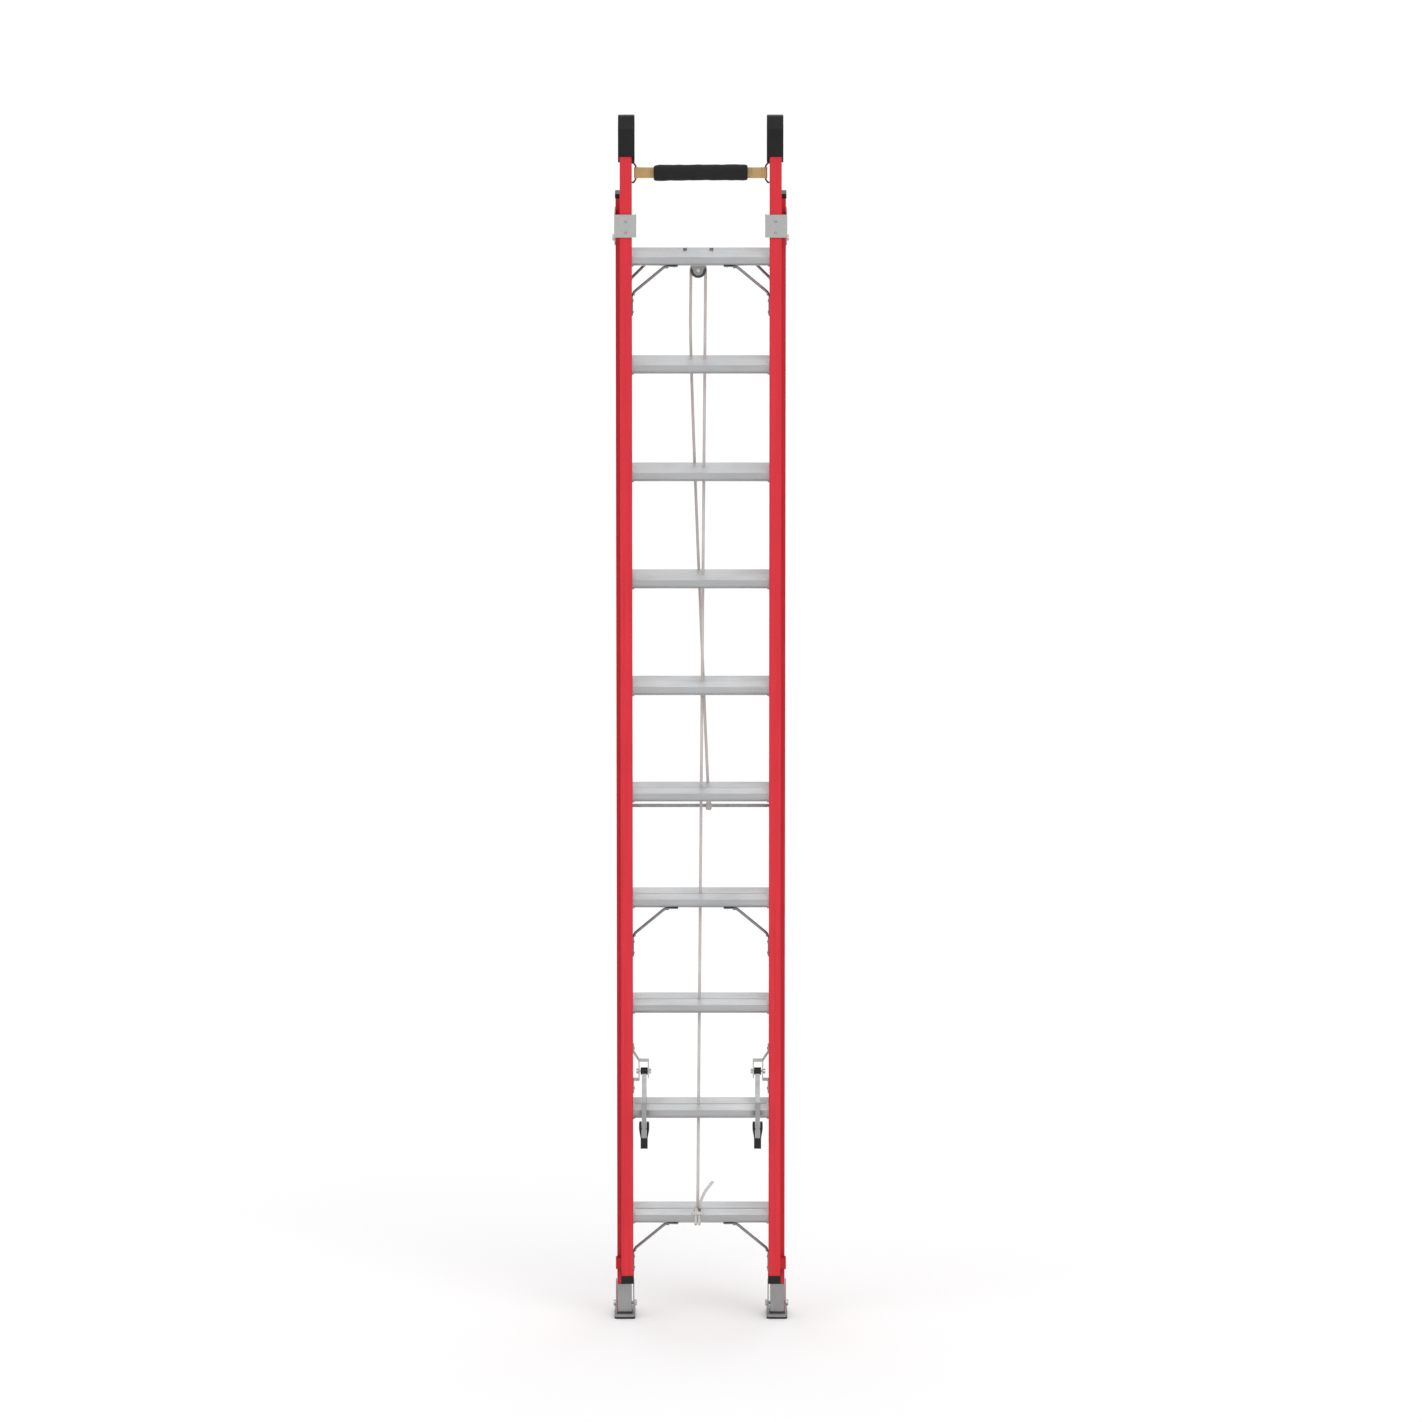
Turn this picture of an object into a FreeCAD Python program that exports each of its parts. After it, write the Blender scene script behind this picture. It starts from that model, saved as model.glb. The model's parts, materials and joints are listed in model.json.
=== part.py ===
import FreeCAD, Part
import Sketcher
import math
import os
import re

# Two-section extension ladder, built upright and closed.
# X runs across the ladder, Y runs from the climber towards the wall, Z is up.
# The origin lies on the floor under the middle of the ladder, and Y = 0 is also
# the plane that parts the fly section (in front) from the base section (behind).

SIZES = {
    # rungs and their spacing
    "rung_pitch": 304.8,
    "rung_count": 10,
    "bottom_rung_height": 310,
    "rung_radius": 19,
    "rung_side": 13,
    "rung_top": 12,
    "rung_tilt": 14.5,
    "rung_wall": 2,
    "groove_pitch": 5,
    "groove_count": 7,
    "groove_depth": 0.9,
    "groove_half_width": 1.1,
    "collar_growth": 3,
    "collar_length": 5,
    "swage_growth": 2.5,
    "swage_length": 4,
    "rung_clearance": 0.2,
    # side rails
    "rail_depth": 76,
    "section_gap": 12,
    "web_thickness": 4.5,
    "flange_thickness": 5,
    "rail_corner": 3,
    "fly_width": 451,
    "fly_flange": 33.5,
    "fly_bottom": 126,
    "fly_top": 3386,
    "base_width": 476,
    "base_flange": 38,
    "base_bottom": 18,
    "base_top": 3222,
    # caps on the rail ends
    "cap_wall": 1.5,
    "fly_cap_floor": 6,
    "fly_cap_height": 23,
    "base_cap_top": 6,
    "base_cap_height": 13,
    "mar_cap_wall": 6,
    "mar_cap_skirt": 61,
    "mar_cap_front_skirt": 38,
    "mar_cap_rise": 70,
    "mar_cap_side": 4.5,
    "mar_cap_inner_side": 8,
    "mar_cap_edge": 3,
    "mar_cap_shoulder": 30,
    "mar_cap_round": 12,
    "cap_clearance": 0.2,
    # tie rod under the sixth rung from the bottom
    "tie_rod_radius": 5,
    "tie_rod_drop": 49,
    "tie_rod_rung": 5,
    "tie_rod_end": 13,
    "nut_radius": 9.5,
    "nut_height": 8,
    "bolt_fit": 0.05,
    "bolt_clearance": 0.2,
    # corner braces
    "brace_radius": 4,
    "brace_foot": 3,
    "brace_half_width": 9,
    "brace_bend_radius": 14,
    "fly_brace_start": 64,
    "fly_brace_bend": 102,
    "fly_brace_drop": 96,
    "fly_brace_end": 160,
    "base_brace_start": 118,
    "base_brace_bend": 150,
    "base_brace_drop": 70,
    "base_brace_end": 128,
    # rivets
    "rivet_radius": 4.5,
    "rivet_crown": 2.6,
    "rivet_height": 2,
    "brace_rivet_pitch": 32,
    "lock_rivet_inset": 10,
    "guide_rivet_inset": 19,
    # guide brackets at the top of the base section
    "plate_thickness": 3,
    "guide_bottom": 3118,
    "guide_top": 3182,
    "guide_tab_bottom": 3082,
    "guide_tab_front": 14,
    "guide_back": 74,
    "guide_gap": 1,
    "guide_lip_inset": 11,
    "guide_lip_end": 70,
    "guide_bolt_height": 3100,
    "guide_bolt_spread": 15,
    "guide_bolt_radius": 4,
    "guide_spacer_radius": 7,
    "guide_head_radius": 7,
    "guide_head_height": 6,
    "guide_nut_height": 6,
    # hooks at the foot of the fly section
    "hook_bottom": 146,
    "hook_height": 32,
    "hook_gap": 0.5,
    "hook_side_gap": 1,
    "hook_reach": 11,
    "hook_root": 18,
    # shoes
    "boot_thickness": 2.5,
    "boot_top": 98,
    "heel_start": 10,
    "heel_rise": 11.5,
    "pivot_height": 34,
    "pivot_radius": 5,
    "tread_thickness": 5,
    "sole_thickness": 8,
    "sole_inner": 187,
    "sole_outer": 246,
    "sole_front": 56,
    "sole_back": 59,
    "ear_inner": 190,
    "ear_outer": 242,
    "ear_top": 102,
    "ear_foot_half": 38,
    "ear_top_half": 18,
    "ear_round": 8,
    "tread_groove": 4,
    "tread_groove_depth": 3,
    "tread_groove_pitch": 12,
    "tread_groove_count": 8,
    "shoe_head_radius": 9,
    "shoe_head_height": 7,
    "pivot_fit": 0.08,
    "pivot_end_gap": 0.3,
    "pivot_nut_height": 7,
    # pulley under the top base rung
    "pulley_offset": 7,
    "rope_radius": 4,
    "sheave_pitch_radius": 20.5,
    "sheave_rim_radius": 22,
    "sheave_width": 12,
    "sheave_gap": 1,
    "pulley_drop": 45,
    "pulley_pin_radius": 3,
    "pulley_fit": 0.08,
    "pulley_plate": 2.5,
    "pulley_flange": 3,
    "pulley_flange_half": 46,
    "pulley_flange_depth": 34,
    "pulley_throat_half": 16,
    "pulley_cheek_half": 29,
    "pulley_cheek_radius": 14,
    "pulley_bolt_spread": 37,
    "pulley_bolt_radius": 3,
    "pulley_bolt_head": 5.5,
    "pulley_bolt_head_height": 4,
    "pulley_bolt_seat": 14,
    "pulley_nut_height": 5,
    "pulley_pin_head": 2,
    "pulley_pin_head_radius": 5,
    # rung locks on the ninth rung from the top
    "lock_rung": 1,
    "lock_pivot_height": 116,
    "lock_arm_inner": 154,
    "lock_arm_thickness": 13,
    "lock_gap": 5,
    "lock_rest_gap": 5,
    "lock_finger_depth": 22,
    "lock_finger_root": 12.5,
    "lock_neck": 6,
    "lock_neck_half": 10,
    "lock_knee": 78,
    "lock_crotch": 44,
    "lock_leg_rear": 47,
    "lock_leg_thickness": 10,
    "lock_leg_end": 66,
    "lock_bolt_radius": 4,
    "lock_bolt_fit": 0.08,
    "lock_bushing_radius": 10.5,
    "lock_bushing_width": 20,
    "lock_ear_outer": 175,
    "lock_ear_inner": 148.5,
    "lock_roof": 147.5,
    "lock_ear_drop": 16,
    "lock_bracket_depth": 30,
    "lock_foot_top": 192,
    "lock_gusset_top": 172,
    "lock_shelf": 92,
    "lock_foot_bottom": 56,
    "lock_head_radius": 7,
    "lock_head_height": 6,
    "lock_nut_height": 6,
    "tongue_pivot_drop": 40,
    "tongue_pin_radius": 3,
    "tongue_top_drop": 20,
    "tongue_bottom_drop": 96,
    "tongue_top_half": 14.5,
    "tongue_bottom_half": 10,
    "tongue_depth": 14,
    "tongue_side_gap": 0.5,
    # retaining strap between the fly rails
    "strap_height": 3294.5,
    "ring_radius": 2.5,
    "ring_bar_inset": 11,
    "ring_bar_half": 19,
    "ring_leg_half": 27.5,
    "ring_knee_inset": 5,
    "ring_outset": 9,
    "ring_clearance": 0.3,
    "strap_half_height": 15,
    "strap_thickness": 3,
    "strap_eye_radius": 5,
    "sleeve_length": 262,
    "sleeve_radius": 23,
    "sleeve_clearance": 0.3,
    # rope
    "rope_lead": 28,
    "knot_width": 20,
    "knot_clearance": 0.3,
    "tie_knot_width": 10,
    "tie_knot_radius": 13,
}

doc = FreeCAD.newDocument("extension_ladder")
sheet = doc.addObject("Spreadsheet::Sheet", "sizes")
for row, (alias, size) in enumerate(SIZES.items(), start=1):
    sheet.set(f"A{row}", alias)
    sheet.set(f"B{row}", str(size))
    sheet.setAlias(f"B{row}", alias)
doc.recompute()

ALIAS = re.compile(r"\b(" + "|".join(sorted(SIZES, key=len, reverse=True)) + r")\b")
nodes = []


# Places that several pieces share, written as formulas of the sheet's sizes.
FLY_Y = "(-(section_gap + rail_depth) / 2)"
BASE_Y = "((section_gap + rail_depth) / 2)"
FLY_INNER = "(fly_width / 2 - fly_flange)"
BASE_INNER = "(base_width / 2 - base_flange)"
PULLEY_Z = "(bottom_rung_height + (rung_count - 1) * rung_pitch - pulley_drop)"
TIE_ROD_Z = "(bottom_rung_height + (tie_rod_rung - 1) * rung_pitch - tie_rod_drop)"
LOCK_Z = "(bottom_rung_height + lock_rung * rung_pitch)"
RUNG_UNDERSIDE = "(rung_radius + rung_side - rung_top)"


def formula(text):
    """The same formula with each size read from the sheet."""
    return ALIAS.sub(r"sizes.\1", str(text))


def value(text):
    """The number that a formula gives now."""
    return float(sheet.evalExpression(formula(text)))


def bind(thing, **formulas):
    """Tie properties to formulas; a double underscore stands for a dot."""
    for name, text in formulas.items():
        thing.setExpression(name.replace("__", "."), formula(text))


def place(thing, x="0", y="0", z="0"):
    """Tie a thing's position to formulas."""
    bind(thing, Placement__Base__x=x, Placement__Base__y=y, Placement__Base__z=z)
    return thing


def turned(thing, axis, degrees):
    """Turn a thing about its own origin."""
    thing.Placement.Rotation = FreeCAD.Rotation(FreeCAD.Vector(*axis), degrees)
    return thing


def node(thing, label):
    """Mark a thing as a finished piece, named for its file."""
    thing.Label = label
    nodes.append(thing)
    return thing


def new_body(name):
    return doc.addObject("PartDesign::Body", name)


def origin_part(body, role):
    return next(item for item in body.Origin.OriginFeatures if item.Role == role)


def new_sketch(body, name, role, x="0", y="0", offset="0"):
    """A sketch on one of the body's origin planes, moved by formulas."""
    sketch = body.newObject("Sketcher::SketchObject", name)
    sketch.AttachmentSupport = [(origin_part(body, role), "")]
    sketch.MapMode = "FlatFace"
    bind(sketch, AttachmentOffset__Base__x=x, AttachmentOffset__Base__y=y, AttachmentOffset__Base__z=offset)
    return sketch


def hold(sketch, kind, geometry, point, text):
    """Hold one coordinate or radius of a sketch to a formula."""
    if kind == "Radius":
        constraint = Sketcher.Constraint(kind, geometry, value(text))
    else:
        constraint = Sketcher.Constraint(kind, -1, 1, geometry, point, value(text))
    index = sketch.addConstraint(constraint)
    sketch.setExpression(f"Constraints[{index}]", formula(text))


def draw_polygon(sketch, corners):
    """A closed outline whose corners are held to formulas."""
    points = [FreeCAD.Vector(value(x), value(y), 0) for x, y in corners]
    lines = []
    for start, end in zip(points, points[1:] + points[:1]):
        lines.append(sketch.addGeometry(Part.LineSegment(start, end)))
    for line, after in zip(lines, lines[1:] + lines[:1]):
        sketch.addConstraint(Sketcher.Constraint("Coincident", line, 2, after, 1))
    for line, (x, y) in zip(lines, corners):
        hold(sketch, "DistanceX", line, 1, x)
        hold(sketch, "DistanceY", line, 1, y)


def draw_circle(sketch, radius, x="0", y="0"):
    centre = FreeCAD.Vector(value(x), value(y), 0)
    circle = sketch.addGeometry(Part.Circle(centre, FreeCAD.Vector(0, 0, 1), value(radius)))
    hold(sketch, "DistanceX", circle, 3, x)
    hold(sketch, "DistanceY", circle, 3, y)
    hold(sketch, "Radius", circle, 0, radius)


def draw_rung_section(sketch, growth):
    """The rung's section, flat on top and round below, grown all round."""
    half = f"rung_radius + {growth}"
    top = f"rung_top + {growth}"
    side_end = "rung_top - rung_side"
    corners = [(f"-({half})", top), (half, top), (half, side_end), (f"-({half})", side_end)]
    points = [FreeCAD.Vector(value(x), value(y), 0) for x, y in corners]
    lines = []
    for start, end in ((3, 0), (0, 1), (1, 2)):
        lines.append(sketch.addGeometry(Part.LineSegment(points[start], points[end])))
    centre = FreeCAD.Vector(0, value(side_end), 0)
    full = Part.Circle(centre, FreeCAD.Vector(0, 0, 1), value(half))
    arc = sketch.addGeometry(Part.ArcOfCircle(full, math.pi, 2 * math.pi))
    for first, second in ((0, 1), (1, 2)):
        sketch.addConstraint(Sketcher.Constraint("Coincident", lines[first], 2, lines[second], 1))
    sketch.addConstraint(Sketcher.Constraint("Coincident", arc, 1, lines[0], 1))
    sketch.addConstraint(Sketcher.Constraint("Coincident", arc, 2, lines[2], 2))
    for line, corner in ((0, 3), (1, 0), (2, 1)):
        hold(sketch, "DistanceX", lines[line], 1, corners[corner][0])
        hold(sketch, "DistanceY", lines[line], 1, corners[corner][1])
    hold(sketch, "DistanceX", lines[2], 2, corners[2][0])
    hold(sketch, "DistanceY", lines[2], 2, corners[2][1])
    hold(sketch, "DistanceY", arc, 3, side_end)


def pad(body, sketch, length, symmetric=False):
    feature = body.newObject("PartDesign::Pad", sketch.Name + "_pad")
    feature.Profile = sketch
    feature.SideType = "Symmetric" if symmetric else "One side"
    bind(feature, Length=length)
    return feature


def cut_through(body, sketch):
    """A pocket that runs right through the body, both ways from its sketch."""
    feature = body.newObject("PartDesign::Pocket", sketch.Name + "_cut")
    feature.Profile = sketch
    feature.SideType = "Symmetric"
    feature.Type = "ThroughAll"
    return feature


def cut_length(body, sketch, length, symmetric=False, reverse=False):
    feature = body.newObject("PartDesign::Pocket", sketch.Name + "_cut")
    feature.Profile = sketch
    feature.SideType = "Symmetric" if symmetric else "One side"
    feature.Reversed = reverse
    bind(feature, Length=length)
    return feature


def repeat(body, features, role, spacing, count):
    """Repeat features along one of the body's axes."""
    pattern = body.newObject("PartDesign::LinearPattern", features[0].Name + "_row")
    pattern.Originals = features
    pattern.Direction = (origin_part(body, role), [""])
    pattern.Mode = "Spacing"
    bind(pattern, Offset=spacing, Occurrences=count)
    body.Tip = pattern
    return pattern


def mirror_features(body, features, role):
    mirrored = body.newObject("PartDesign::Mirrored", features[0].Name + "_mirror")
    mirrored.Originals = features
    mirrored.MirrorPlane = (origin_part(body, role), [""])
    body.Tip = mirrored
    return mirrored


def round_edges(body, feature, radius, wanted):
    """Fillet the edges of a feature whose middle point passes a test."""
    doc.recompute()
    names = []
    for index, edge in enumerate(feature.Shape.Edges, start=1):
        middle = edge.valueAt((edge.FirstParameter + edge.LastParameter) / 2)
        if wanted(edge, middle):
            names.append(f"Edge{index}")
    fillet = body.newObject("PartDesign::Fillet", feature.Name + "_round")
    fillet.Base = (feature, names)
    bind(fillet, Radius=radius)
    return fillet


def upright(edge, middle):
    """True of a straight edge that stands along Z."""
    ends = edge.Vertexes
    return len(ends) == 2 and ends[0].Point.sub(ends[1].Point).cross(FreeCAD.Vector(0, 0, 1)).Length < 1e-6


def mirrored_copy(thing, label):
    """The same piece on the other side of the ladder."""
    copy = doc.addObject("Part::Mirroring", label)
    copy.Source = thing
    copy.Normal = FreeCAD.Vector(1, 0, 0)
    return copy


def both_sides(thing, name):
    """Left and right nodes of one piece that is drawn on the right."""
    node(thing, f"{name}_right")
    return thing, node(mirrored_copy(thing, f"{name}_left"), f"{name}_left")


def group(name, things):
    """Separate solids that share one node."""
    compound = doc.addObject("Part::Compound", name)
    compound.Links = things
    return node(compound, name)


def pair_group(name, things):
    """Separate solids on the right, and their mirror images, in one node."""
    mirrors = [mirrored_copy(thing, f"{name}_left_{index}") for index, thing in enumerate(things)]
    return group(name, things + mirrors)


def cylinder(name, radius, length, axis="Z"):
    """A round bar from its own origin along an axis."""
    bar = doc.addObject("Part::Cylinder", name)
    bind(bar, Radius=radius, Height=length)
    turns = {"X": ((0, 1, 0), 90), "Y": ((1, 0, 0), -90), "Z": ((0, 0, 1), 0)}
    return turned(bar, *turns[axis])


def block(name, length, width, height):
    box = doc.addObject("Part::Box", name)
    bind(box, Length=length, Width=width, Height=height)
    return box


def fuse(name, things):
    joined = doc.addObject("Part::MultiFuse", name)
    joined.Shapes = things
    return joined


def cut(name, base, tool):
    remains = doc.addObject("Part::Cut", name)
    remains.Base = base
    remains.Tool = tool
    return remains


def feature(name, shape):
    """A piece whose shape comes from Part's own functions."""
    thing = doc.addObject("Part::Feature", name)
    thing.Shape = shape
    return thing


def bent_strip(points, thickness, width, normal):
    """Sheet metal folded along a line of points, as wide as given along its normal."""
    wire = Part.makePolygon([FreeCAD.Vector(*point) for point in points])
    outline = wire.makeOffset2D(thickness / 2, 0, False, False)
    strip = Part.Face(outline).extrude(FreeCAD.Vector(*normal) * width)
    return strip


def rounded_path(points, radii):
    """Straight runs through points, joined by tangent arcs."""
    edges = []
    start = points[0]
    for before, corner, after, radius in zip(points, points[1:], points[2:], radii):
        into = (corner - before).normalize()
        away = (after - corner).normalize()
        turn = into.getAngle(away)
        reach = radius * math.tan(turn / 2)
        arc_start = corner - into * reach
        arc_end = corner + away * reach
        inward = (away - into).normalize()
        middle = corner + inward * (radius / math.cos(turn / 2) - radius)
        edges.append(Part.LineSegment(start, arc_start).toShape())
        edges.append(Part.Arc(arc_start, middle, arc_end).toShape())
        start = arc_end
    edges.append(Part.LineSegment(start, points[-1]).toShape())
    return Part.Wire(edges)


def tube(path, radius):
    """A solid round bar swept along a path."""
    first = path.OrderedEdges[0]
    start = first.valueAt(first.FirstParameter)
    profile = Part.Wire(Part.makeCircle(radius, start, first.tangentAt(first.FirstParameter)))
    return path.makePipeShell([profile], True, False)


# Side rails ------------------------------------------------------------------


def rail(name, centre, inner, flange, bottom, top):
    """A channel rail on the right, open outwards, with a hole for each rung."""
    body = new_body(name)
    front = f"{centre} - rail_depth / 2"
    back = f"{centre} + rail_depth / 2"
    outer = f"{inner} + {flange}"
    web = f"{inner} + web_thickness"
    sketch = new_sketch(body, name + "_section", "XY_Plane", offset=bottom)
    draw_polygon(sketch, [
        (inner, front), (outer, front), (outer, f"{front} + flange_thickness"),
        (web, f"{front} + flange_thickness"), (web, f"{back} - flange_thickness"),
        (outer, f"{back} - flange_thickness"), (outer, back), (inner, back),
    ])
    channel = pad(body, sketch, f"{top} - {bottom}")
    web_limit = value(web) + 1e-3
    round_edges(body, channel, "rail_corner", lambda edge, middle: upright(edge, middle) and middle.x < web_limit)
    holes = new_sketch(body, name + "_rung_hole", "YZ_Plane", x=centre, y="bottom_rung_height")
    bind(holes, AttachmentOffset__Rotation__Angle="rung_tilt")
    draw_rung_section(holes, "rung_clearance")
    first_hole = cut_through(body, holes)
    repeat(body, [first_hole], "Z_Axis", "rung_pitch", "rung_count")
    return body


def bore(body, name, radius, x, y, role="YZ_Plane"):
    """A round hole right through a body."""
    sketch = new_sketch(body, name, role)
    draw_circle(sketch, radius, x, y)
    return cut_through(body, sketch)


def fly_rails():
    body = rail("fly_rail_right", FLY_Y, FLY_INNER, "fly_flange", "fly_bottom", "fly_top")
    for word, sign in (("upper", "+"), ("lower", "-")):
        bore(body, f"ring_hole_{word}", "ring_radius + ring_clearance", FLY_Y, f"strap_height {sign} ring_leg_half")
    both_sides(body, "fly_rail")


def heel_cut(body, name):
    """Slope the back of a foot, so that the shoe can swing under it."""
    sketch = new_sketch(body, name, "YZ_Plane")
    back = f"{BASE_Y} + rail_depth / 2 + boot_thickness"
    draw_polygon(sketch, [
        (f"{BASE_Y} + heel_start", "base_bottom"), (back, "base_bottom + heel_rise"),
        (f"{back} + 1", "base_bottom + heel_rise"), (f"{back} + 1", "base_bottom - 1"),
        (f"{BASE_Y} + heel_start", "base_bottom - 1"),
    ])
    return cut_through(body, sketch)


def base_rails():
    body = rail("base_rail_right", BASE_Y, BASE_INNER, "base_flange", "base_bottom", "base_top")
    bore(body, "tie_rod_hole", "tie_rod_radius + bolt_clearance", BASE_Y, TIE_ROD_Z)
    bore(body, "base_pivot_hole", "pivot_radius + bolt_clearance", BASE_Y, "pivot_height")
    for word, sign in (("front", "-"), ("back", "+")):
        bore(body, f"guide_hole_{word}", "guide_bolt_radius + bolt_clearance",
             f"{BASE_Y} {sign} guide_bolt_spread", "guide_bolt_height")
    heel_cut(body, "rail_heel")
    both_sides(body, "base_rail")


# Rungs -----------------------------------------------------------------------


def rung(name, centre, inner, step):
    """A fluted D-section tube, swaged against both rail webs."""
    body = new_body(name)
    outside = new_sketch(body, name + "_outside", "YZ_Plane")
    draw_rung_section(outside, "0")
    pad(body, outside, f"2 * ({inner} + web_thickness + swage_length)", symmetric=True)
    collar = new_sketch(body, name + "_collar", "YZ_Plane", offset=f"{inner} - collar_length")
    draw_rung_section(collar, "collar_growth")
    collar_pad = pad(body, collar, "collar_length")
    swage = new_sketch(body, name + "_swage", "YZ_Plane", offset=f"{inner} + web_thickness")
    draw_rung_section(swage, "swage_growth")
    swage_pad = pad(body, swage, "swage_length")
    mirror_features(body, [collar_pad, swage_pad], "YZ_Plane")
    inside = new_sketch(body, name + "_inside", "YZ_Plane")
    draw_rung_section(inside, "(-rung_wall)")
    cut_through(body, inside)
    groove = new_sketch(body, name + "_groove", "YZ_Plane")
    first = "-groove_pitch * (groove_count - 1) / 2"
    draw_polygon(groove, [
        (f"{first} - groove_half_width", "rung_top"), (first, "rung_top - groove_depth"),
        (f"{first} + groove_half_width", "rung_top"), (first, "rung_top + groove_depth"),
    ])
    first_groove = cut_length(body, groove, f"2 * ({inner} - collar_length)", symmetric=True)
    repeat(body, [first_groove], "Y_Axis", "groove_pitch", "groove_count")
    body.Placement.Rotation = FreeCAD.Rotation(FreeCAD.Vector(1, 0, 0), value("rung_tilt"))
    bind(body, Placement__Rotation__Angle="rung_tilt")
    place(body, y=centre, z=f"bottom_rung_height + {step} * rung_pitch")
    return body


def pulley_bolt_holes(body):
    """Upright holes through the tilted top rung of the base section."""
    for word, sign in (("left", "-"), ("right", "+")):
        sketch = new_sketch(body, f"pulley_bolt_hole_{word}", "XY_Plane")
        sketch.AttachmentOffset = FreeCAD.Placement(
            FreeCAD.Vector(0, 0, 0), FreeCAD.Rotation(FreeCAD.Vector(1, 0, 0), -value("rung_tilt")))
        bind(sketch, AttachmentOffset__Rotation__Angle="-rung_tilt")
        draw_circle(sketch, "pulley_bolt_radius + bolt_clearance", f"-pulley_offset {sign} pulley_bolt_spread", "0")
        cut_through(body, sketch)


def rungs():
    count = int(value("rung_count"))
    for step in range(count):
        node(rung(f"fly_rung_{step + 1:02d}", FLY_Y, FLY_INNER, step), f"fly_rung_{step + 1:02d}")
        body = rung(f"base_rung_{step + 1:02d}", BASE_Y, BASE_INNER, step)
        if step == count - 1:
            pulley_bolt_holes(body)
        node(body, f"base_rung_{step + 1:02d}")


def steps(*numbers):
    """Heights of the named rungs, counted from the bottom one."""
    return [f"(bottom_rung_height + {number - 1} * rung_pitch)" for number in numbers]


# Caps on the rail ends -------------------------------------------------------


def draw_rail_box(sketch, centre, inner, flange, growth):
    """The rail's outer rectangle in plan, grown all round."""
    front = f"{centre} - rail_depth / 2 - {growth}"
    back = f"{centre} + rail_depth / 2 + {growth}"
    left = f"{inner} - {growth}"
    right = f"{inner} + {flange} + {growth}"
    draw_polygon(sketch, [(left, front), (right, front), (right, back), (left, back)])


def rail_cap(name, centre, inner, flange, low, height, cavity_low, cavity_height):
    body = new_body(name)
    outside = new_sketch(body, name + "_outside", "XY_Plane", offset=low)
    draw_rail_box(outside, centre, inner, flange, "cap_wall")
    shell = pad(body, outside, height)
    round_edges(body, shell, "rail_corner", upright)
    inside = new_sketch(body, name + "_inside", "XY_Plane", offset=cavity_low)
    draw_rail_box(inside, centre, inner, flange, "cap_clearance")
    cut_length(body, inside, cavity_height, reverse=True)
    return body


def end_caps():
    fly = rail_cap("fly_end_cap", FLY_Y, FLY_INNER, "fly_flange", "fly_bottom - fly_cap_floor",
                   "fly_cap_height", "fly_bottom", "fly_cap_height")
    pair_group("fly_end_caps", [fly])
    low = "base_top + base_cap_top - base_cap_height"
    base = rail_cap("base_end_cap", BASE_Y, BASE_INNER, "base_flange", low,
                    "base_cap_height", low, "base_cap_height - base_cap_top")
    pair_group("base_end_caps", [base])


def mar_caps():
    """Rubber caps on top of the fly rails, with a sloped front skirt."""
    body = new_body("mar_cap")
    inner_side = f"{FLY_INNER} - mar_cap_inner_side"
    side = new_sketch(body, "mar_cap_side", "YZ_Plane", offset=inner_side)
    front = f"{FLY_Y} - rail_depth / 2 - mar_cap_wall"
    back = f"{FLY_Y} + rail_depth / 2 + mar_cap_wall"
    top = "fly_top + mar_cap_rise"
    draw_polygon(side, [
        (front, "fly_top - mar_cap_front_skirt"), (front, f"{top} - mar_cap_shoulder"),
        (f"{front} + mar_cap_shoulder", top), (f"{back} - mar_cap_shoulder", top),
        (back, f"{top} - mar_cap_shoulder"), (back, "fly_top - mar_cap_skirt"),
        (f"{front} + mar_cap_shoulder", "fly_top - mar_cap_skirt"),
    ])
    block = pad(body, side, "mar_cap_inner_side + fly_flange + mar_cap_side")
    shoulder = value(top) - value("mar_cap_shoulder") - 1
    rounded = round_edges(body, block, "mar_cap_round",
                          lambda edge, middle: middle.z > shoulder and abs(middle.x - value(inner_side)) > 1
                          and middle.x < value(f"{FLY_INNER} + fly_flange + mar_cap_side") - 1)
    round_edges(body, rounded, "mar_cap_edge", lambda edge, middle: middle.z > value("fly_top"))
    socket = new_sketch(body, "mar_cap_socket", "XY_Plane", offset="fly_top")
    draw_rail_box(socket, FLY_Y, FLY_INNER, "fly_flange", "cap_clearance")
    cut_length(body, socket, "mar_cap_skirt + 1")
    pair_group("mar_caps", [body])


# Tie rod ---------------------------------------------------------------------


def hex_nut(name, radius, height, bore_radius):
    """A nut along Z with its bore."""
    prism = doc.addObject("Part::Prism", name + "_prism")
    bind(prism, Circumradius=radius, Height=height)
    return cut(name, prism, cylinder(name + "_bore", bore_radius, height))


def tie_rod():
    half = f"({BASE_INNER} + web_thickness + tie_rod_end)"
    rod = cylinder("tie_rod_bar", "tie_rod_radius", f"2 * {half}", "X")
    place(rod, x=f"-{half}", y=BASE_Y, z=TIE_ROD_Z)
    node(rod, "tie_rod")
    nut = hex_nut("tie_rod_nut", "nut_radius", "nut_height", "tie_rod_radius + bolt_fit")
    place(turned(nut, (0, 1, 0), 90), x=f"{BASE_INNER} + web_thickness", y=BASE_Y, z=TIE_ROD_Z)
    pair_group("tie_rod_nuts", [nut])


# Corner braces ---------------------------------------------------------------


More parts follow.
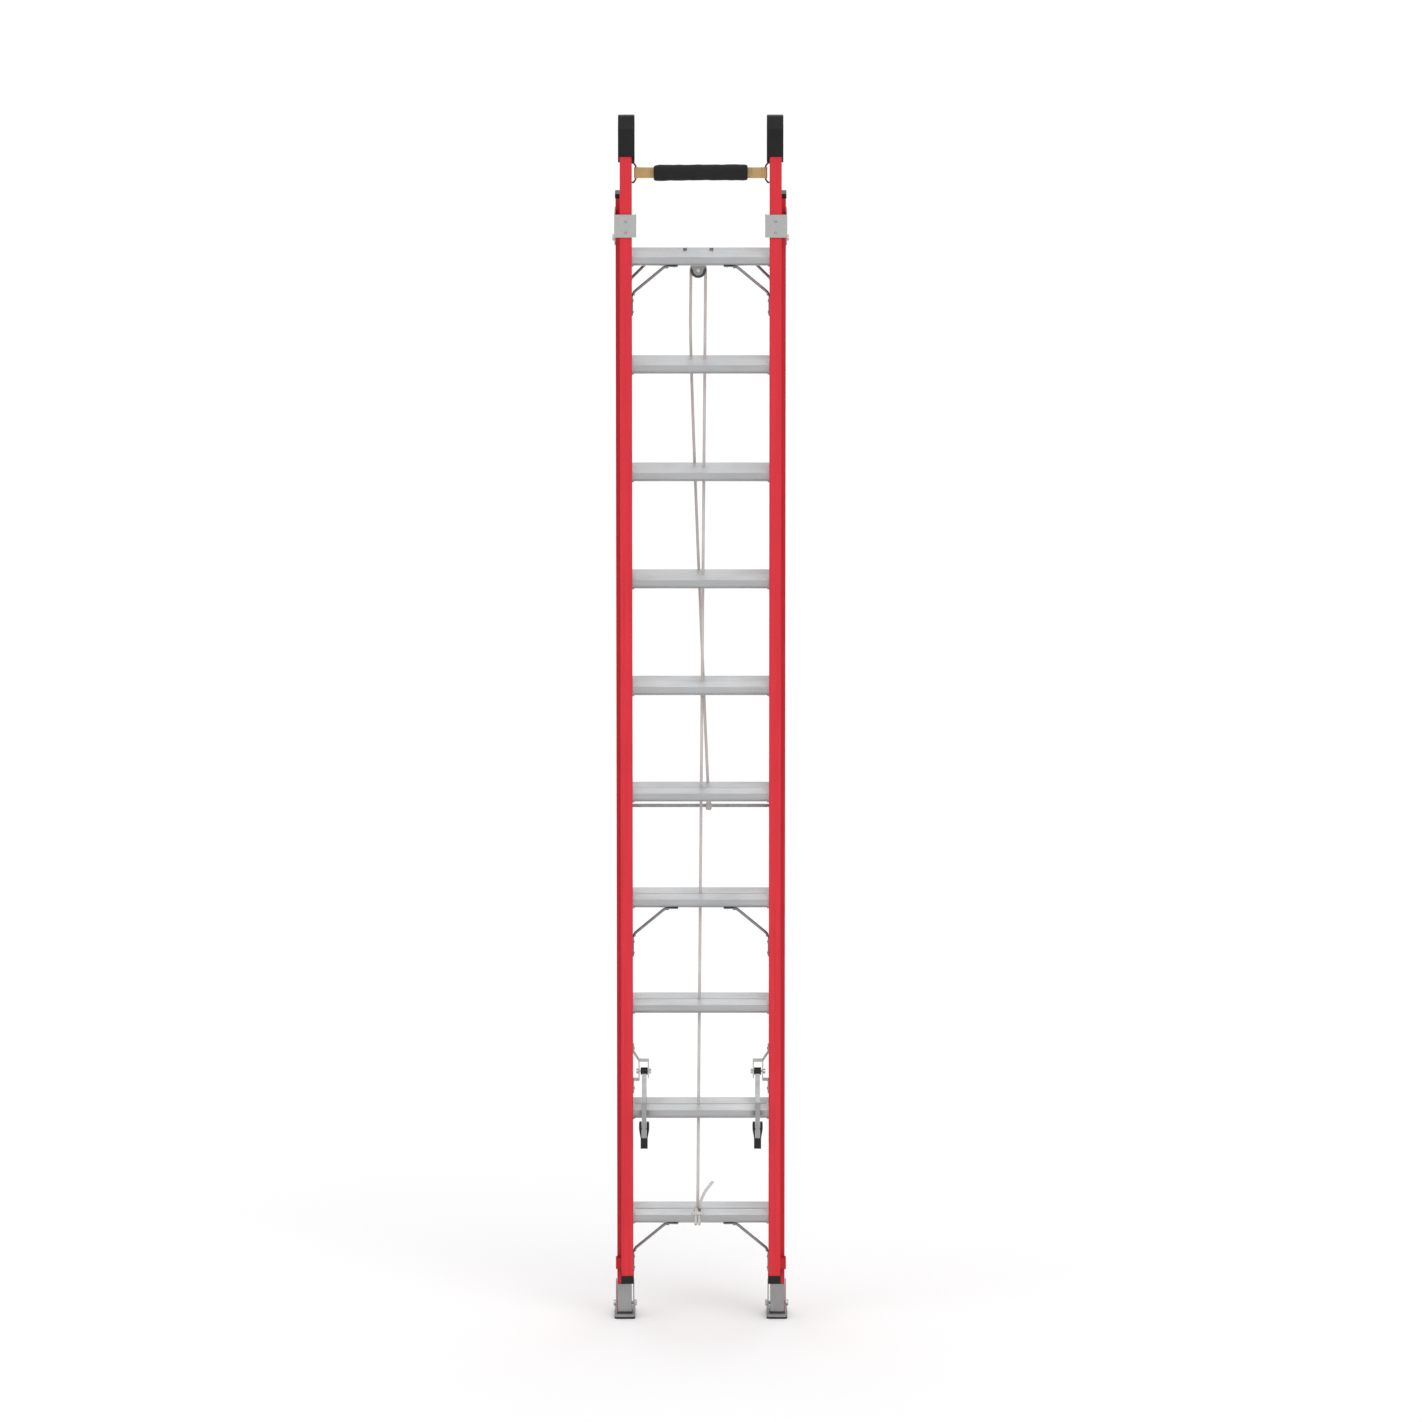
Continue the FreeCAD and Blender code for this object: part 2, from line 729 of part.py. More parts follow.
def brace(name, centre, inner, height, start, bend, drop, end):
    """A round bar with flattened feet, from under a rung to the rail's web."""
    y, z = value(centre), value(height)
    wall, radius, foot = value(inner), value("brace_radius"), value("brace_foot")
    half, under = value("brace_half_width"), value(RUNG_UNDERSIDE)
    knee, low = value(bend), z - value(drop)
    axis_height = z - under - radius
    corners = [
        FreeCAD.Vector(knee - 3 * radius, y, axis_height),
        FreeCAD.Vector(knee, y, axis_height),
        FreeCAD.Vector(wall - radius, y, low),
        FreeCAD.Vector(wall - radius, y, low - 2 * radius),
    ]
    bend_radius = value("brace_bend_radius")
    bar = tube(rounded_path(corners, [bend_radius, bend_radius]), radius)
    rung_foot = Part.makeBox(knee - value(start) - 2 * radius, 2 * half, foot,
                             FreeCAD.Vector(value(start), y - half, z - under - foot))
    web_foot = Part.makeBox(foot, 2 * half, low - 2 * radius - (z - value(end)),
                            FreeCAD.Vector(wall - foot, y - half, z - value(end)))
    return feature(name, bar.fuse([rung_foot, web_foot]).removeSplitter())


def braces():
    fly = [brace(f"fly_brace_{index}", FLY_Y, FLY_INNER, height, "fly_brace_start", "fly_brace_bend",
                 "fly_brace_drop", "fly_brace_end") for index, height in enumerate(steps(1, 4, 10))]
    pair_group("fly_braces", fly)
    base = [brace(f"base_brace_{index}", BASE_Y, BASE_INNER, height, "base_brace_start", "base_brace_bend",
                  "base_brace_drop", "base_brace_end") for index, height in enumerate(steps(10))]
    pair_group("base_braces", base)


# Rivets ----------------------------------------------------------------------


INWARD = ((0, 1, 0), -90)
DOWNWARD = ((1, 0, 0), 180)
FORWARD = ((1, 0, 0), 90)


def rivet(name, direction, x, y, z):
    """A rivet's head, standing on the surface at its place."""
    head = doc.addObject("Part::Cone", name)
    bind(head, Radius1="rivet_radius", Radius2="rivet_crown", Height="rivet_height")
    return place(turned(head, *direction), x=x, y=y, z=z)


def brace_rivets(name, centre, inner, height, start, end):
    """One rivet under the rung and two on the web."""
    foot = rivet(f"{name}_foot", DOWNWARD, f"{start} + brace_half_width", centre,
                 f"{height} - {RUNG_UNDERSIDE} - brace_foot")
    web = [rivet(f"{name}_web_{index}", INWARD, f"{inner} - brace_foot", centre, f"{height} - {end} + {lift}")
           for index, lift in enumerate(("brace_half_width", "brace_half_width + brace_rivet_pitch"))]
    return [foot] + web


def rivets():
    fly = []
    for index, height in enumerate(steps(1, 4, 10)):
        fly += brace_rivets(f"fly_rivet_{index}", FLY_Y, FLY_INNER, height, "fly_brace_start", "fly_brace_end")
    for index, height in enumerate(("lock_foot_top - lock_rivet_inset", "lock_foot_bottom + lock_rivet_inset")):
        fly.append(rivet(f"lock_rivet_{index}", INWARD, f"{FLY_INNER} - plate_thickness", FLY_Y,
                         f"{LOCK_Z} + {height}"))
    pair_group("fly_rivets", fly)
    base = []
    for index, height in enumerate(steps(10)):
        base += brace_rivets(f"base_rivet_{index}", BASE_Y, BASE_INNER, height,
                             "base_brace_start", "base_brace_end")
    for index, height in enumerate(("guide_top - guide_rivet_inset", "guide_bottom + guide_rivet_inset - 5")):
        base.append(rivet(f"guide_rivet_{index}", FORWARD, f"{FLY_INNER} + fly_flange / 2",
                          f"{FLY_Y} - rail_depth / 2 - guide_gap - plate_thickness", height))
    pair_group("base_rivets", base)


# Guide brackets and hooks ----------------------------------------------------


def headed_bolt(name, shank, length, head, head_height, nut, nut_height):
    """A bolt along Z: a round head, its shank, and a nut at the start of the shank."""
    bar = cylinder(name + "_shank", shank, length)
    top = place(cylinder(name + "_head", head, head_height), z=length)
    end = doc.addObject("Part::Prism", name + "_nut")
    bind(end, Circumradius=nut, Height=nut_height)
    return fuse(name, [bar, top, end])


def guide_brackets():
    """Plates at the top of the base rails that wrap round the fly rails."""
    thickness = value("plate_thickness")
    lip_x = value(f"{FLY_INNER} - guide_lip_inset")
    front_y = value(f"{FLY_Y} - rail_depth / 2 - guide_gap - plate_thickness / 2")
    side_x = value("base_width / 2 + plate_thickness / 2")
    bottom, top = value("guide_bottom"), value("guide_top")
    back_y = value("guide_back")
    points = [(lip_x, -value("guide_lip_end"), bottom), (lip_x, front_y, bottom),
              (side_x, front_y, bottom), (side_x, back_y, bottom)]
    strip = bent_strip(points, thickness, top - bottom, (0, 0, 1))
    tab_bottom, tab_front = value("guide_tab_bottom"), value("guide_tab_front")
    tab = Part.makeBox(thickness, back_y - tab_front, bottom - tab_bottom,
                       FreeCAD.Vector(side_x - thickness / 2, tab_front, tab_bottom))
    plate = strip.fuse(tab).removeSplitter()
    bolts = []
    spacers = []
    for word, sign in (("front", -1), ("back", 1)):
        y = value(BASE_Y) + sign * value("guide_bolt_spread")
        z = value("guide_bolt_height")
        hole = Part.makeCylinder(value("guide_bolt_radius + bolt_clearance"), 4 * thickness,
                                 FreeCAD.Vector(side_x - 2 * thickness, y, z), FreeCAD.Vector(1, 0, 0))
        plate = plate.cut(hole)
        place_y = f"{BASE_Y} + {sign} * guide_bolt_spread"
        bolt = headed_bolt(f"guide_bolt_{word}", "guide_bolt_radius",
                           "base_flange + plate_thickness + guide_nut_height", "guide_head_radius",
                           "guide_head_height", "guide_head_radius", "guide_nut_height")
        place(turned(bolt, (0, 1, 0), 90), x=f"{BASE_INNER} - guide_nut_height", y=place_y, z="guide_bolt_height")
        bolts.append(bolt)
        sleeve = cylinder(f"guide_spacer_{word}_outside", "guide_spacer_radius", "base_flange - web_thickness")
        sleeve_bore = cylinder(f"guide_spacer_{word}_bore", "guide_bolt_radius + bolt_clearance", "base_flange")
        spacer = cut(f"guide_spacer_{word}", sleeve, sleeve_bore)
        place(turned(spacer, (0, 1, 0), 90), x=f"{BASE_INNER} + web_thickness", y=place_y, z="guide_bolt_height")
        spacers.append(spacer)
    pair_group("guide_brackets", [feature("guide_bracket", plate)])
    pair_group("guide_bolts", bolts + spacers)


def fly_hooks():
    """Hooks at the foot of the fly rails, round the front flanges of the base rails."""
    thickness = value("plate_thickness")
    bottom = value("hook_bottom")
    root_y = value(f"{FLY_Y} + rail_depth / 2 - flange_thickness - plate_thickness / 2")
    side_x = value("base_width / 2 + hook_side_gap + plate_thickness / 2")
    lip_y = value(f"{BASE_Y} - rail_depth / 2 + flange_thickness + hook_gap + plate_thickness / 2")
    points = [(side_x - value("hook_root") - value("hook_reach"), root_y, bottom), (side_x, root_y, bottom),
              (side_x, lip_y, bottom), (side_x - value("hook_reach"), lip_y, bottom)]
    hook = bent_strip(points, thickness, value("hook_height"), (0, 0, 1))
    pair_group("fly_hooks", [feature("fly_hook", hook)])


# Feet ------------------------------------------------------------------------


def boots():
    """Metal sleeves round the feet of the base rails."""
    thickness = value("boot_thickness")
    bottom, top = value("base_bottom"), value("boot_top")
    inner = value(BASE_INNER) - thickness / 2
    outer = value("base_width / 2") - thickness
    front = value(f"{BASE_Y} - rail_depth / 2") - thickness / 2
    back = value(f"{BASE_Y} + rail_depth / 2") + thickness / 2
    points = [(outer, front, bottom), (inner, front, bottom), (inner, back, bottom), (outer, back, bottom)]
    boot = bent_strip(points, thickness, top - bottom, (0, 0, 1))
    heel = value(f"{BASE_Y} + heel_start")
    far = back + thickness
    rise = value("heel_rise") * (far - heel) / value("rail_depth / 2 + boot_thickness - heel_start")
    corners = [(0, heel, bottom), (0, far, bottom + rise), (0, far, bottom - 1), (0, heel, bottom - 1)]
    wedge = Part.makePolygon([FreeCAD.Vector(*corner) for corner in corners + corners[:1]])
    boot = boot.cut(Part.Face(wedge).extrude(FreeCAD.Vector(2 * outer, 0, 0)))
    hole = Part.makeCylinder(value("pivot_radius + bolt_clearance"), 2 * outer,
                             FreeCAD.Vector(0, value(BASE_Y), value("pivot_height")), FreeCAD.Vector(1, 0, 0))
    pair_group("base_boots", [feature("base_boot", boot.cut(hole))])


def shoes():
    """Swivelling feet: a steel channel with two ears and a grooved rubber tread."""
    shoe = new_body("shoe_right")
    corners = [("sole_inner", f"{BASE_Y} - sole_front"), ("sole_outer", f"{BASE_Y} - sole_front"),
               ("sole_outer", f"{BASE_Y} + sole_back"), ("sole_inner", f"{BASE_Y} + sole_back")]
    sole = new_sketch(shoe, "shoe_sole", "XY_Plane", offset="tread_thickness")
    draw_polygon(sole, corners)
    sole_pad = pad(shoe, sole, "sole_thickness")
    round_edges(shoe, sole_pad, "ear_round", upright)
    for word, offset in (("inner", "ear_inner"), ("outer", "ear_outer - plate_thickness")):
        ear = new_sketch(shoe, f"shoe_ear_{word}", "YZ_Plane", offset=offset)
        draw_polygon(ear, [
            (f"{BASE_Y} - ear_foot_half", "tread_thickness"), (f"{BASE_Y} + ear_foot_half", "tread_thickness"),
            (f"{BASE_Y} + ear_top_half", "ear_top"), (f"{BASE_Y} - ear_top_half", "ear_top"),
        ])
        ear_pad = pad(shoe, ear, "plate_thickness")
        ear_x = value(offset) + value("plate_thickness") / 2
        top_height = value("ear_top")
        round_edges(shoe, ear_pad, "ear_round",
                    lambda edge, middle: abs(middle.z - top_height) < 1 and abs(middle.x - ear_x) < 1)
    bore(shoe, "shoe_pivot_hole", "pivot_radius + pivot_fit", BASE_Y, "pivot_height")
    both_sides(shoe, "shoe")

    tread = new_body("shoe_tread_right")
    plan = new_sketch(tread, "tread_plan", "XY_Plane")
    draw_polygon(plan, corners)
    tread_pad = pad(tread, plan, "tread_thickness")
    round_edges(tread, tread_pad, "ear_round", upright)
    groove = new_sketch(tread, "tread_groove", "YZ_Plane")
    first = f"{BASE_Y} + (sole_back - sole_front) / 2 - tread_groove_pitch * (tread_groove_count - 1) / 2"
    draw_polygon(groove, [
        (f"{first} - tread_groove / 2", "-1"), (f"{first} + tread_groove / 2", "-1"),
        (f"{first} + tread_groove / 2", "tread_groove_depth"), (f"{first} - tread_groove / 2", "tread_groove_depth"),
    ])
    first_groove = cut_through(tread, groove)
    repeat(tread, [first_groove], "Y_Axis", "tread_groove_pitch", "tread_groove_count")
    both_sides(tread, "shoe_tread")

    length = "ear_outer - ear_inner + 2 * pivot_end_gap + pivot_nut_height"
    bolt = headed_bolt("shoe_pivot_bolt", "pivot_radius", length, "shoe_head_radius", "shoe_head_height",
                       "shoe_head_radius", "pivot_nut_height")
    place(turned(bolt, (0, 1, 0), 90), x="ear_inner - pivot_end_gap - pivot_nut_height", y=BASE_Y, z="pivot_height")
    pair_group("shoe_pivot_bolts", [bolt])


# Pulley ----------------------------------------------------------------------


TOP_RUNG_Z = "(bottom_rung_height + (rung_count - 1) * rung_pitch)"


def pulley():
    """A grooved wheel in a bracket bolted under the top base rung."""
    sheave = new_body("pulley_sheave")
    section = new_sketch(sheave, "sheave_section", "XY_Plane")
    draw_polygon(section, [
        ("pulley_pin_radius + pulley_fit", "-sheave_width / 2"), ("sheave_rim_radius", "-sheave_width / 2"),
        ("sheave_rim_radius", "sheave_width / 2"), ("pulley_pin_radius + pulley_fit", "sheave_width / 2"),
    ])
    wheel = sheave.newObject("PartDesign::Revolution", "sheave_wheel")
    wheel.Profile = section
    wheel.ReferenceAxis = (section, ["V_Axis"])
    rope_path = new_sketch(sheave, "sheave_rope_groove", "XY_Plane")
    draw_circle(rope_path, "rope_radius + knot_clearance", "sheave_pitch_radius", "0")
    groove = sheave.newObject("PartDesign::Groove", "sheave_groove")
    groove.Profile = rope_path
    groove.ReferenceAxis = (rope_path, ["V_Axis"])
    place(sheave, x="-pulley_offset", y=BASE_Y, z=PULLEY_Z)
    node(sheave, "pulley_sheave")

    x, y, top = -value("pulley_offset"), value(BASE_Y), value(f"{TOP_RUNG_Z} - {RUNG_UNDERSIDE}")
    flange, half = value("pulley_flange"), value("pulley_flange_half")
    depth, throat = value("pulley_flange_depth"), value("pulley_throat_half")
    inner_y = value("sheave_width / 2 + sheave_gap")
    cheek = value("pulley_plate")
    bracket = Part.makeBox(2 * half, depth, flange, FreeCAD.Vector(x - half, y - depth / 2, top - flange))
    bracket = bracket.cut(Part.makeBox(2 * throat, 2 * inner_y, 3 * flange,
                                       FreeCAD.Vector(x - throat, y - inner_y, top - 2 * flange)))
    pin_z, low_half = value(PULLEY_Z), value("pulley_cheek_radius")
    cheek_half = value("pulley_cheek_half")
    for start in (y - inner_y - cheek, y + inner_y):
        outline = [(x - cheek_half, start, top), (x + cheek_half, start, top),
                   (x + low_half, start, pin_z), (x - low_half, start, pin_z)]
        corners = [FreeCAD.Vector(*corner) for corner in outline + outline[:1]]
        plate = Part.Face(Part.makePolygon(corners)).extrude(FreeCAD.Vector(0, cheek, 0))
        disc = Part.makeCylinder(low_half, cheek, FreeCAD.Vector(x, start, pin_z), FreeCAD.Vector(0, 1, 0))
        bracket = bracket.fuse([plate, disc])
    bracket = bracket.cut(Part.makeCylinder(value("pulley_pin_radius + bolt_clearance"), depth,
                                            FreeCAD.Vector(x, y - depth / 2, pin_z), FreeCAD.Vector(0, 1, 0)))
    for side in (-1, 1):
        centre = FreeCAD.Vector(x + side * value("pulley_bolt_spread"), y, top - 2 * flange)
        bracket = bracket.cut(Part.makeCylinder(value("pulley_bolt_radius + bolt_clearance"), 3 * flange, centre))
    node(feature("pulley_bracket_plate", bracket.removeSplitter()), "pulley_bracket")

    pin_half = "(sheave_width / 2 + sheave_gap + pulley_plate + bolt_clearance)"
    bar = cylinder("pulley_pin_bar", "pulley_pin_radius", f"2 * {pin_half}", "Y")
    place(bar, x="-pulley_offset", y=f"{BASE_Y} - {pin_half}", z=PULLEY_Z)
    heads = []
    for index, end in enumerate((f"{BASE_Y} - {pin_half} - pulley_pin_head", f"{BASE_Y} + {pin_half}")):
        head = cylinder(f"pulley_pin_head_{index}", "pulley_pin_head_radius", "pulley_pin_head", "Y")
        heads.append(place(head, x="-pulley_offset", y=end, z=PULLEY_Z))
    node(fuse("pulley_pin_whole", [bar] + heads), "pulley_pin")

    bolts = []
    for side in (-1, 1):
        word = "left" if side < 0 else "right"
        low = f"({TOP_RUNG_Z} - {RUNG_UNDERSIDE} - pulley_flange - pulley_nut_height)"
        length = f"{TOP_RUNG_Z} + pulley_bolt_seat - {low}"
        bolt = headed_bolt(f"pulley_bolt_{word}", "pulley_bolt_radius", length, "pulley_bolt_head",
                           "pulley_bolt_head_height", "pulley_bolt_head", "pulley_nut_height")
        bolts.append(place(bolt, x=f"-pulley_offset + {side} * pulley_bolt_spread", y=BASE_Y, z=low))
    group("pulley_bolts", bolts)


# Rung locks ------------------------------------------------------------------


def lock_brackets():
    """Folded brackets on the fly rails' webs that carry the lock pivots."""
    thickness = value("plate_thickness")
    depth = value("lock_bracket_depth")
    y = value(FLY_Y) - depth / 2
    z = value(LOCK_Z)
    web_x = value(FLY_INNER) - thickness / 2
    outer_x, inner_x = value("lock_ear_outer"), value("lock_ear_inner")
    roof = z + value("lock_roof")
    hood = [(web_x, y, z + value("lock_foot_top")), (web_x, y, z + value("lock_gusset_top")),
            (outer_x, y, roof), (inner_x, y, roof), (inner_x, y, z + value("lock_pivot_height - lock_ear_drop"))]
    shelf = z + value("lock_shelf")
    leg = [(outer_x, y, roof), (outer_x, y, shelf), (web_x, y, shelf), (web_x, y, z + value("lock_foot_bottom"))]
    bracket = bent_strip(hood, thickness, depth, (0, 1, 0)).fuse(bent_strip(leg, thickness, depth, (0, 1, 0)))
    pivot = FreeCAD.Vector(0, value(FLY_Y), z + value("lock_pivot_height"))
    hole = Part.makeCylinder(value("lock_bolt_radius + bolt_clearance"), web_x, pivot, FreeCAD.Vector(1, 0, 0))
    pair_group("lock_brackets", [feature("lock_bracket", bracket.cut(hole).removeSplitter())])

    start = "lock_ear_inner - plate_thickness / 2 - bolt_clearance - lock_nut_height"
    length = f"lock_ear_outer + plate_thickness / 2 + bolt_clearance - ({start})"
    bolt = headed_bolt("lock_bolt", "lock_bolt_radius", length, "lock_head_radius", "lock_head_height",
                       "lock_head_radius", "lock_nut_height")
    place(turned(bolt, (0, 1, 0), 90), x=start, y=FLY_Y, z=f"{LOCK_Z} + lock_pivot_height")
    pair_group("lock_bolts", [bolt])


def polar(centre, radius, degrees):
    """A point at an angle from straight down, towards the wall."""
    angle = math.radians(degrees)
    return centre + FreeCAD.Vector(0, radius * math.sin(angle), -radius * math.cos(angle))


def lock_arms():
    """Forked arms: a front leg before the rung and a finger that drops on the base rung.

    The finger's underside is an arc about the pivot, one gap short of the base rung's
    front edge, so it swings over that rung without rubbing. At rest its tip stands
    clear in front of the base rungs, so that the fly section can slide.
    """
    x, y, z = value("lock_arm_inner"), value(FLY_Y), value(f"{LOCK_Z} + lock_pivot_height")
    pivot = FreeCAD.Vector(x, y, z)
    tilt = math.radians(value("rung_tilt"))
    edge_y = value("section_gap + rail_depth") - value("rung_radius") * math.cos(tilt)
    edge_y -= value("rung_top") * math.sin(tilt)
    edge_z = value("rung_top") * math.cos(tilt) - value("rung_radius") * math.sin(tilt)
    reach = math.hypot(edge_y, value("lock_pivot_height") - edge_z) - value("lock_gap")
    tip = math.degrees(math.asin((edge_y - value("lock_rest_gap")) / reach))
    root = value("lock_finger_root")
    inner = reach - value("lock_finger_depth")
    neck, neck_half = value("lock_neck"), value("lock_neck_half")
    rear, leg = value("lock_leg_rear"), value("lock_leg_thickness")
    low = value("lock_leg_end + lock_pivot_height")
    knee, crotch = value("lock_knee"), value("lock_crotch")

    def at(across, up):
        return pivot + FreeCAD.Vector(0, across, up)

    outline = [at(neck_half, -neck), at(-neck_half, -neck), at(-rear - leg, -knee), at(-rear - leg, -low),
               at(-rear, -low), at(-rear, -knee - leg), at(-neck_half - leg, -crotch), at(neck_half, -crotch),
               polar(pivot, inner, root), polar(pivot, reach, root)]
    edges = [Part.LineSegment(a, b).toShape() for a, b in zip(outline, outline[1:])]
    arc = Part.Arc(outline[-1], polar(pivot, reach, (root + tip) / 2), polar(pivot, reach, tip))
    edges.append(arc.toShape())
    last = [polar(pivot, reach, tip), polar(pivot, inner, tip), outline[0]]
    edges += [Part.LineSegment(a, b).toShape() for a, b in zip(last, last[1:])]
    arm = Part.Face(Part.Wire(edges)).extrude(FreeCAD.Vector(value("lock_arm_thickness"), 0, 0))
    pin_hole = Part.makeCylinder(value("tongue_pin_radius + lock_bolt_fit"), value("2 * lock_arm_thickness"),
                                 at(-rear - leg / 2, -value("lock_pivot_height + tongue_pivot_drop")),
                                 FreeCAD.Vector(1, 0, 0))
    both_sides(feature("lock_arm_plate", arm.cut(pin_hole)), "lock_arm")

    width = value("lock_bushing_width")
    middle_x = x + value("lock_arm_thickness") / 2
    along = FreeCAD.Vector(1, 0, 0)
    end = FreeCAD.Vector(middle_x - width / 2, y, z)
    hub = Part.makeCylinder(value("lock_bushing_radius"), width, end, along)
    hub = hub.cut(Part.makeCylinder(value("lock_bolt_radius + lock_bolt_fit"), width, end, along))
    slot = Part.makeBox(value("lock_arm_thickness"), 4 * neck_half, neck_half * 2,
                        FreeCAD.Vector(x, y - 2 * neck_half, z - neck - 2 * neck_half))
    both_sides(feature("lock_bushing_moulding", hub.cut(slot)), "lock_bushing")


def lock_tongues():
    """Plastic clevises that hinge on the lower ends of the lock arms."""
    middle_x = value("lock_arm_inner + lock_arm_thickness / 2")
    y = value(f"{FLY_Y} - lock_leg_rear - lock_leg_thickness / 2")
    z = value(LOCK_Z)
    top, bottom = z - value("tongue_top_drop"), z - value("tongue_bottom_drop")
    pivot_z = z - value("tongue_pivot_drop")
    wide, narrow, depth = value("tongue_top_half"), value("tongue_bottom_half"), value("tongue_depth")
    waist = z - value("lock_leg_end")
    outline = [(wide - 1, top), (wide, top - 6), (wide, pivot_z), (narrow, waist), (narrow, bottom)]
    points = [(middle_x + across, y - depth / 2, up) for across, up in outline]
    points += [(middle_x - across, y - depth / 2, up) for across, up in reversed(outline)]
    corners = [FreeCAD.Vector(*point) for point in points + points[:1]]
    tongue = Part.Face(Part.makePolygon(corners)).extrude(FreeCAD.Vector(0, depth, 0))
    slot_half = value("lock_arm_thickness / 2 + tongue_side_gap")
    end_radius = math.hypot(waist - pivot_z, value("lock_leg_thickness") / 2) + value("tongue_side_gap")
    slot = Part.makeBox(2 * slot_half, 2 * depth, top - pivot_z + end_radius + 1,
                        FreeCAD.Vector(middle_x - slot_half, y - depth, pivot_z - end_radius))
    pin = Part.makeCylinder(value("tongue_pin_radius"), 2 * slot_half + 2,
                            FreeCAD.Vector(middle_x - slot_half - 1, y, pivot_z), FreeCAD.Vector(1, 0, 0))
    both_sides(feature("lock_tongue_moulding", tongue.cut(slot).fuse(pin).removeSplitter()), "lock_tongue")


# Retaining strap -------------------------------------------------------------


def strap():
    """A webbing strap between two wire rings, through a padded sleeve."""
    y, z = value(FLY_Y), value("strap_height")
    bar_x = value(f"{FLY_INNER} - ring_bar_inset")
    half, thickness = value("strap_half_height"), value("strap_thickness")
    band = Part.makeBox(2 * bar_x, thickness, 2 * half, FreeCAD.Vector(-bar_x, y - thickness / 2, z - half))
    eyes, holes = [], []
    for x in (-bar_x, bar_x):
        low = FreeCAD.Vector(x, y, z - half)
        eyes.append(Part.makeCylinder(value("strap_eye_radius"), 2 * half, low))
        holes.append(Part.makeCylinder(value("ring_radius + ring_clearance"), 2 * half, low))
    webbing = band.fuse(eyes).cut(holes[0]).cut(holes[1]).removeSplitter()
    node(feature("strap_webbing", webbing), "pole_strap")

    length = value("sleeve_length")
    gap = value("sleeve_clearance")
    sleeve = Part.makeCylinder(value("sleeve_radius"), length, FreeCAD.Vector(-length / 2, y, z),
                               FreeCAD.Vector(1, 0, 0))
    slot = Part.makeBox(length, thickness + 2 * gap, 2 * (half + gap),
                        FreeCAD.Vector(-length / 2, y - thickness / 2 - gap, z - half - gap))
    node(feature("strap_pad", sleeve.cut(slot)), "strap_sleeve")

    radius = value("ring_radius")
    knee_x = value(f"{FLY_INNER} - ring_knee_inset")
    outer_x = value(f"{FLY_INNER} + ring_outset")
    bar, leg = value("ring_bar_half"), value("ring_leg_half")
    loop = [(bar_x, bar), (knee_x, leg), (outer_x, leg), (outer_x, -leg), (knee_x, -leg), (bar_x, -bar)]
    corners = [FreeCAD.Vector(x, y, z + up) for x, up in loop]
    pieces = []
    for start, end in zip(corners, corners[1:] + corners[:1]):
        pieces.append(Part.makeCylinder(radius, (end - start).Length, start, end - start))
        pieces.append(Part.makeSphere(radius, start))
    ring = pieces[0].fuse(pieces[1:]).removeSplitter()
    pair_group("strap_rings", [feature("strap_ring", ring)])


# Rope ------------------------------------------------------------------------


def point_list(points):
    return [FreeCAD.Vector(*point) for point in points]


def check_rope(name, path, shape, radii):
    """Print a rope's bends and compare its volume with its section and length."""
    expected = math.pi * value("rope_radius") ** 2 * path.Length
    print(name, "length", round(path.Length), "radii", [round(radius) for radius in radii],
          "volume ratio", round(shape.Volume / expected, 4))


def rope():
    """One rope: over the pulley, tied to the tie rod and to the lowest fly rung."""
    radius, pitch = value("rope_radius"), value("sheave_pitch_radius")
    x, y, z = -value("pulley_offset"), value(BASE_Y), value(PULLEY_Z)
    off_right = FreeCAD.Vector(x + pitch, y, z)
    off_left = FreeCAD.Vector(x - pitch, y, z)
    over = FreeCAD.Vector(x, y, z + pitch)

    lead = FreeCAD.Vector(0, 0, -value("rope_lead"))
    front_route = [off_right, off_right + lead] + point_list(ROPE_FRONT)
    front_radii = [EDGE_RADIUS] * (len(front_route) - 2)
    front_path = rounded_path(front_route, front_radii)
    front = tube(front_path, radius)
    check_rope("rope_front", front_path, front, front_radii)
    node(feature("rope_front_tube", front), "rope_front")

    rear_route = [off_left, off_left + lead] + point_list(ROPE_REAR)
    rear_radii = [EDGE_RADIUS] * (len(rear_route) - 3) + [KNOT_BEND_RADIUS]
    rear_edges = [Part.Arc(off_right, over, off_left).toShape()] + rounded_path(rear_route, rear_radii).Edges
    rear_path = Part.Wire(rear_edges)
    rear = tube(rear_path, radius)
    check_rope("rope_rear", rear_path, rear, rear_radii)
    knot_x = rear_route[-1].x
    knot_width = value("tie_knot_width")
    knot_end = FreeCAD.Vector(knot_x - knot_width / 2, y, value(TIE_ROD_Z))
    along = FreeCAD.Vector(1, 0, 0)
    tie_knot = Part.makeCylinder(value("tie_knot_radius"), knot_width, knot_end, along)
    tie_knot = tie_knot.cut(Part.makeCylinder(value("tie_rod_radius + knot_clearance"), knot_width, knot_end, along))
    group("rope_rear", [feature("rope_rear_tube", rear), feature("rope_tie_knot", tie_knot)])

    knot = new_body("rope_hitch")
    outside = new_sketch(knot, "hitch_outside", "YZ_Plane", offset="-knot_width")
    draw_rung_section(outside, "(2 * rope_radius + knot_clearance)")
    pad(knot, outside, "knot_width")
    inside = new_sketch(knot, "hitch_inside", "YZ_Plane")
    draw_rung_section(inside, "knot_clearance")
    cut_through(knot, inside)
    bind(turned(knot, (1, 0, 0), value("rung_tilt")), Placement__Rotation__Angle="rung_tilt")
    place(knot, y=FLY_Y, z="bottom_rung_height")
    tail_route = point_list(ROPE_TAIL)
    tail_radii = corner_radii(tail_route)
    tail_path = rounded_path(tail_route, tail_radii)
    tail = tube(tail_path, radius)
    check_rope("rope_tail", tail_path, tail, tail_radii)
    group("rope_knot", [knot, feature("rope_tail", tail)])


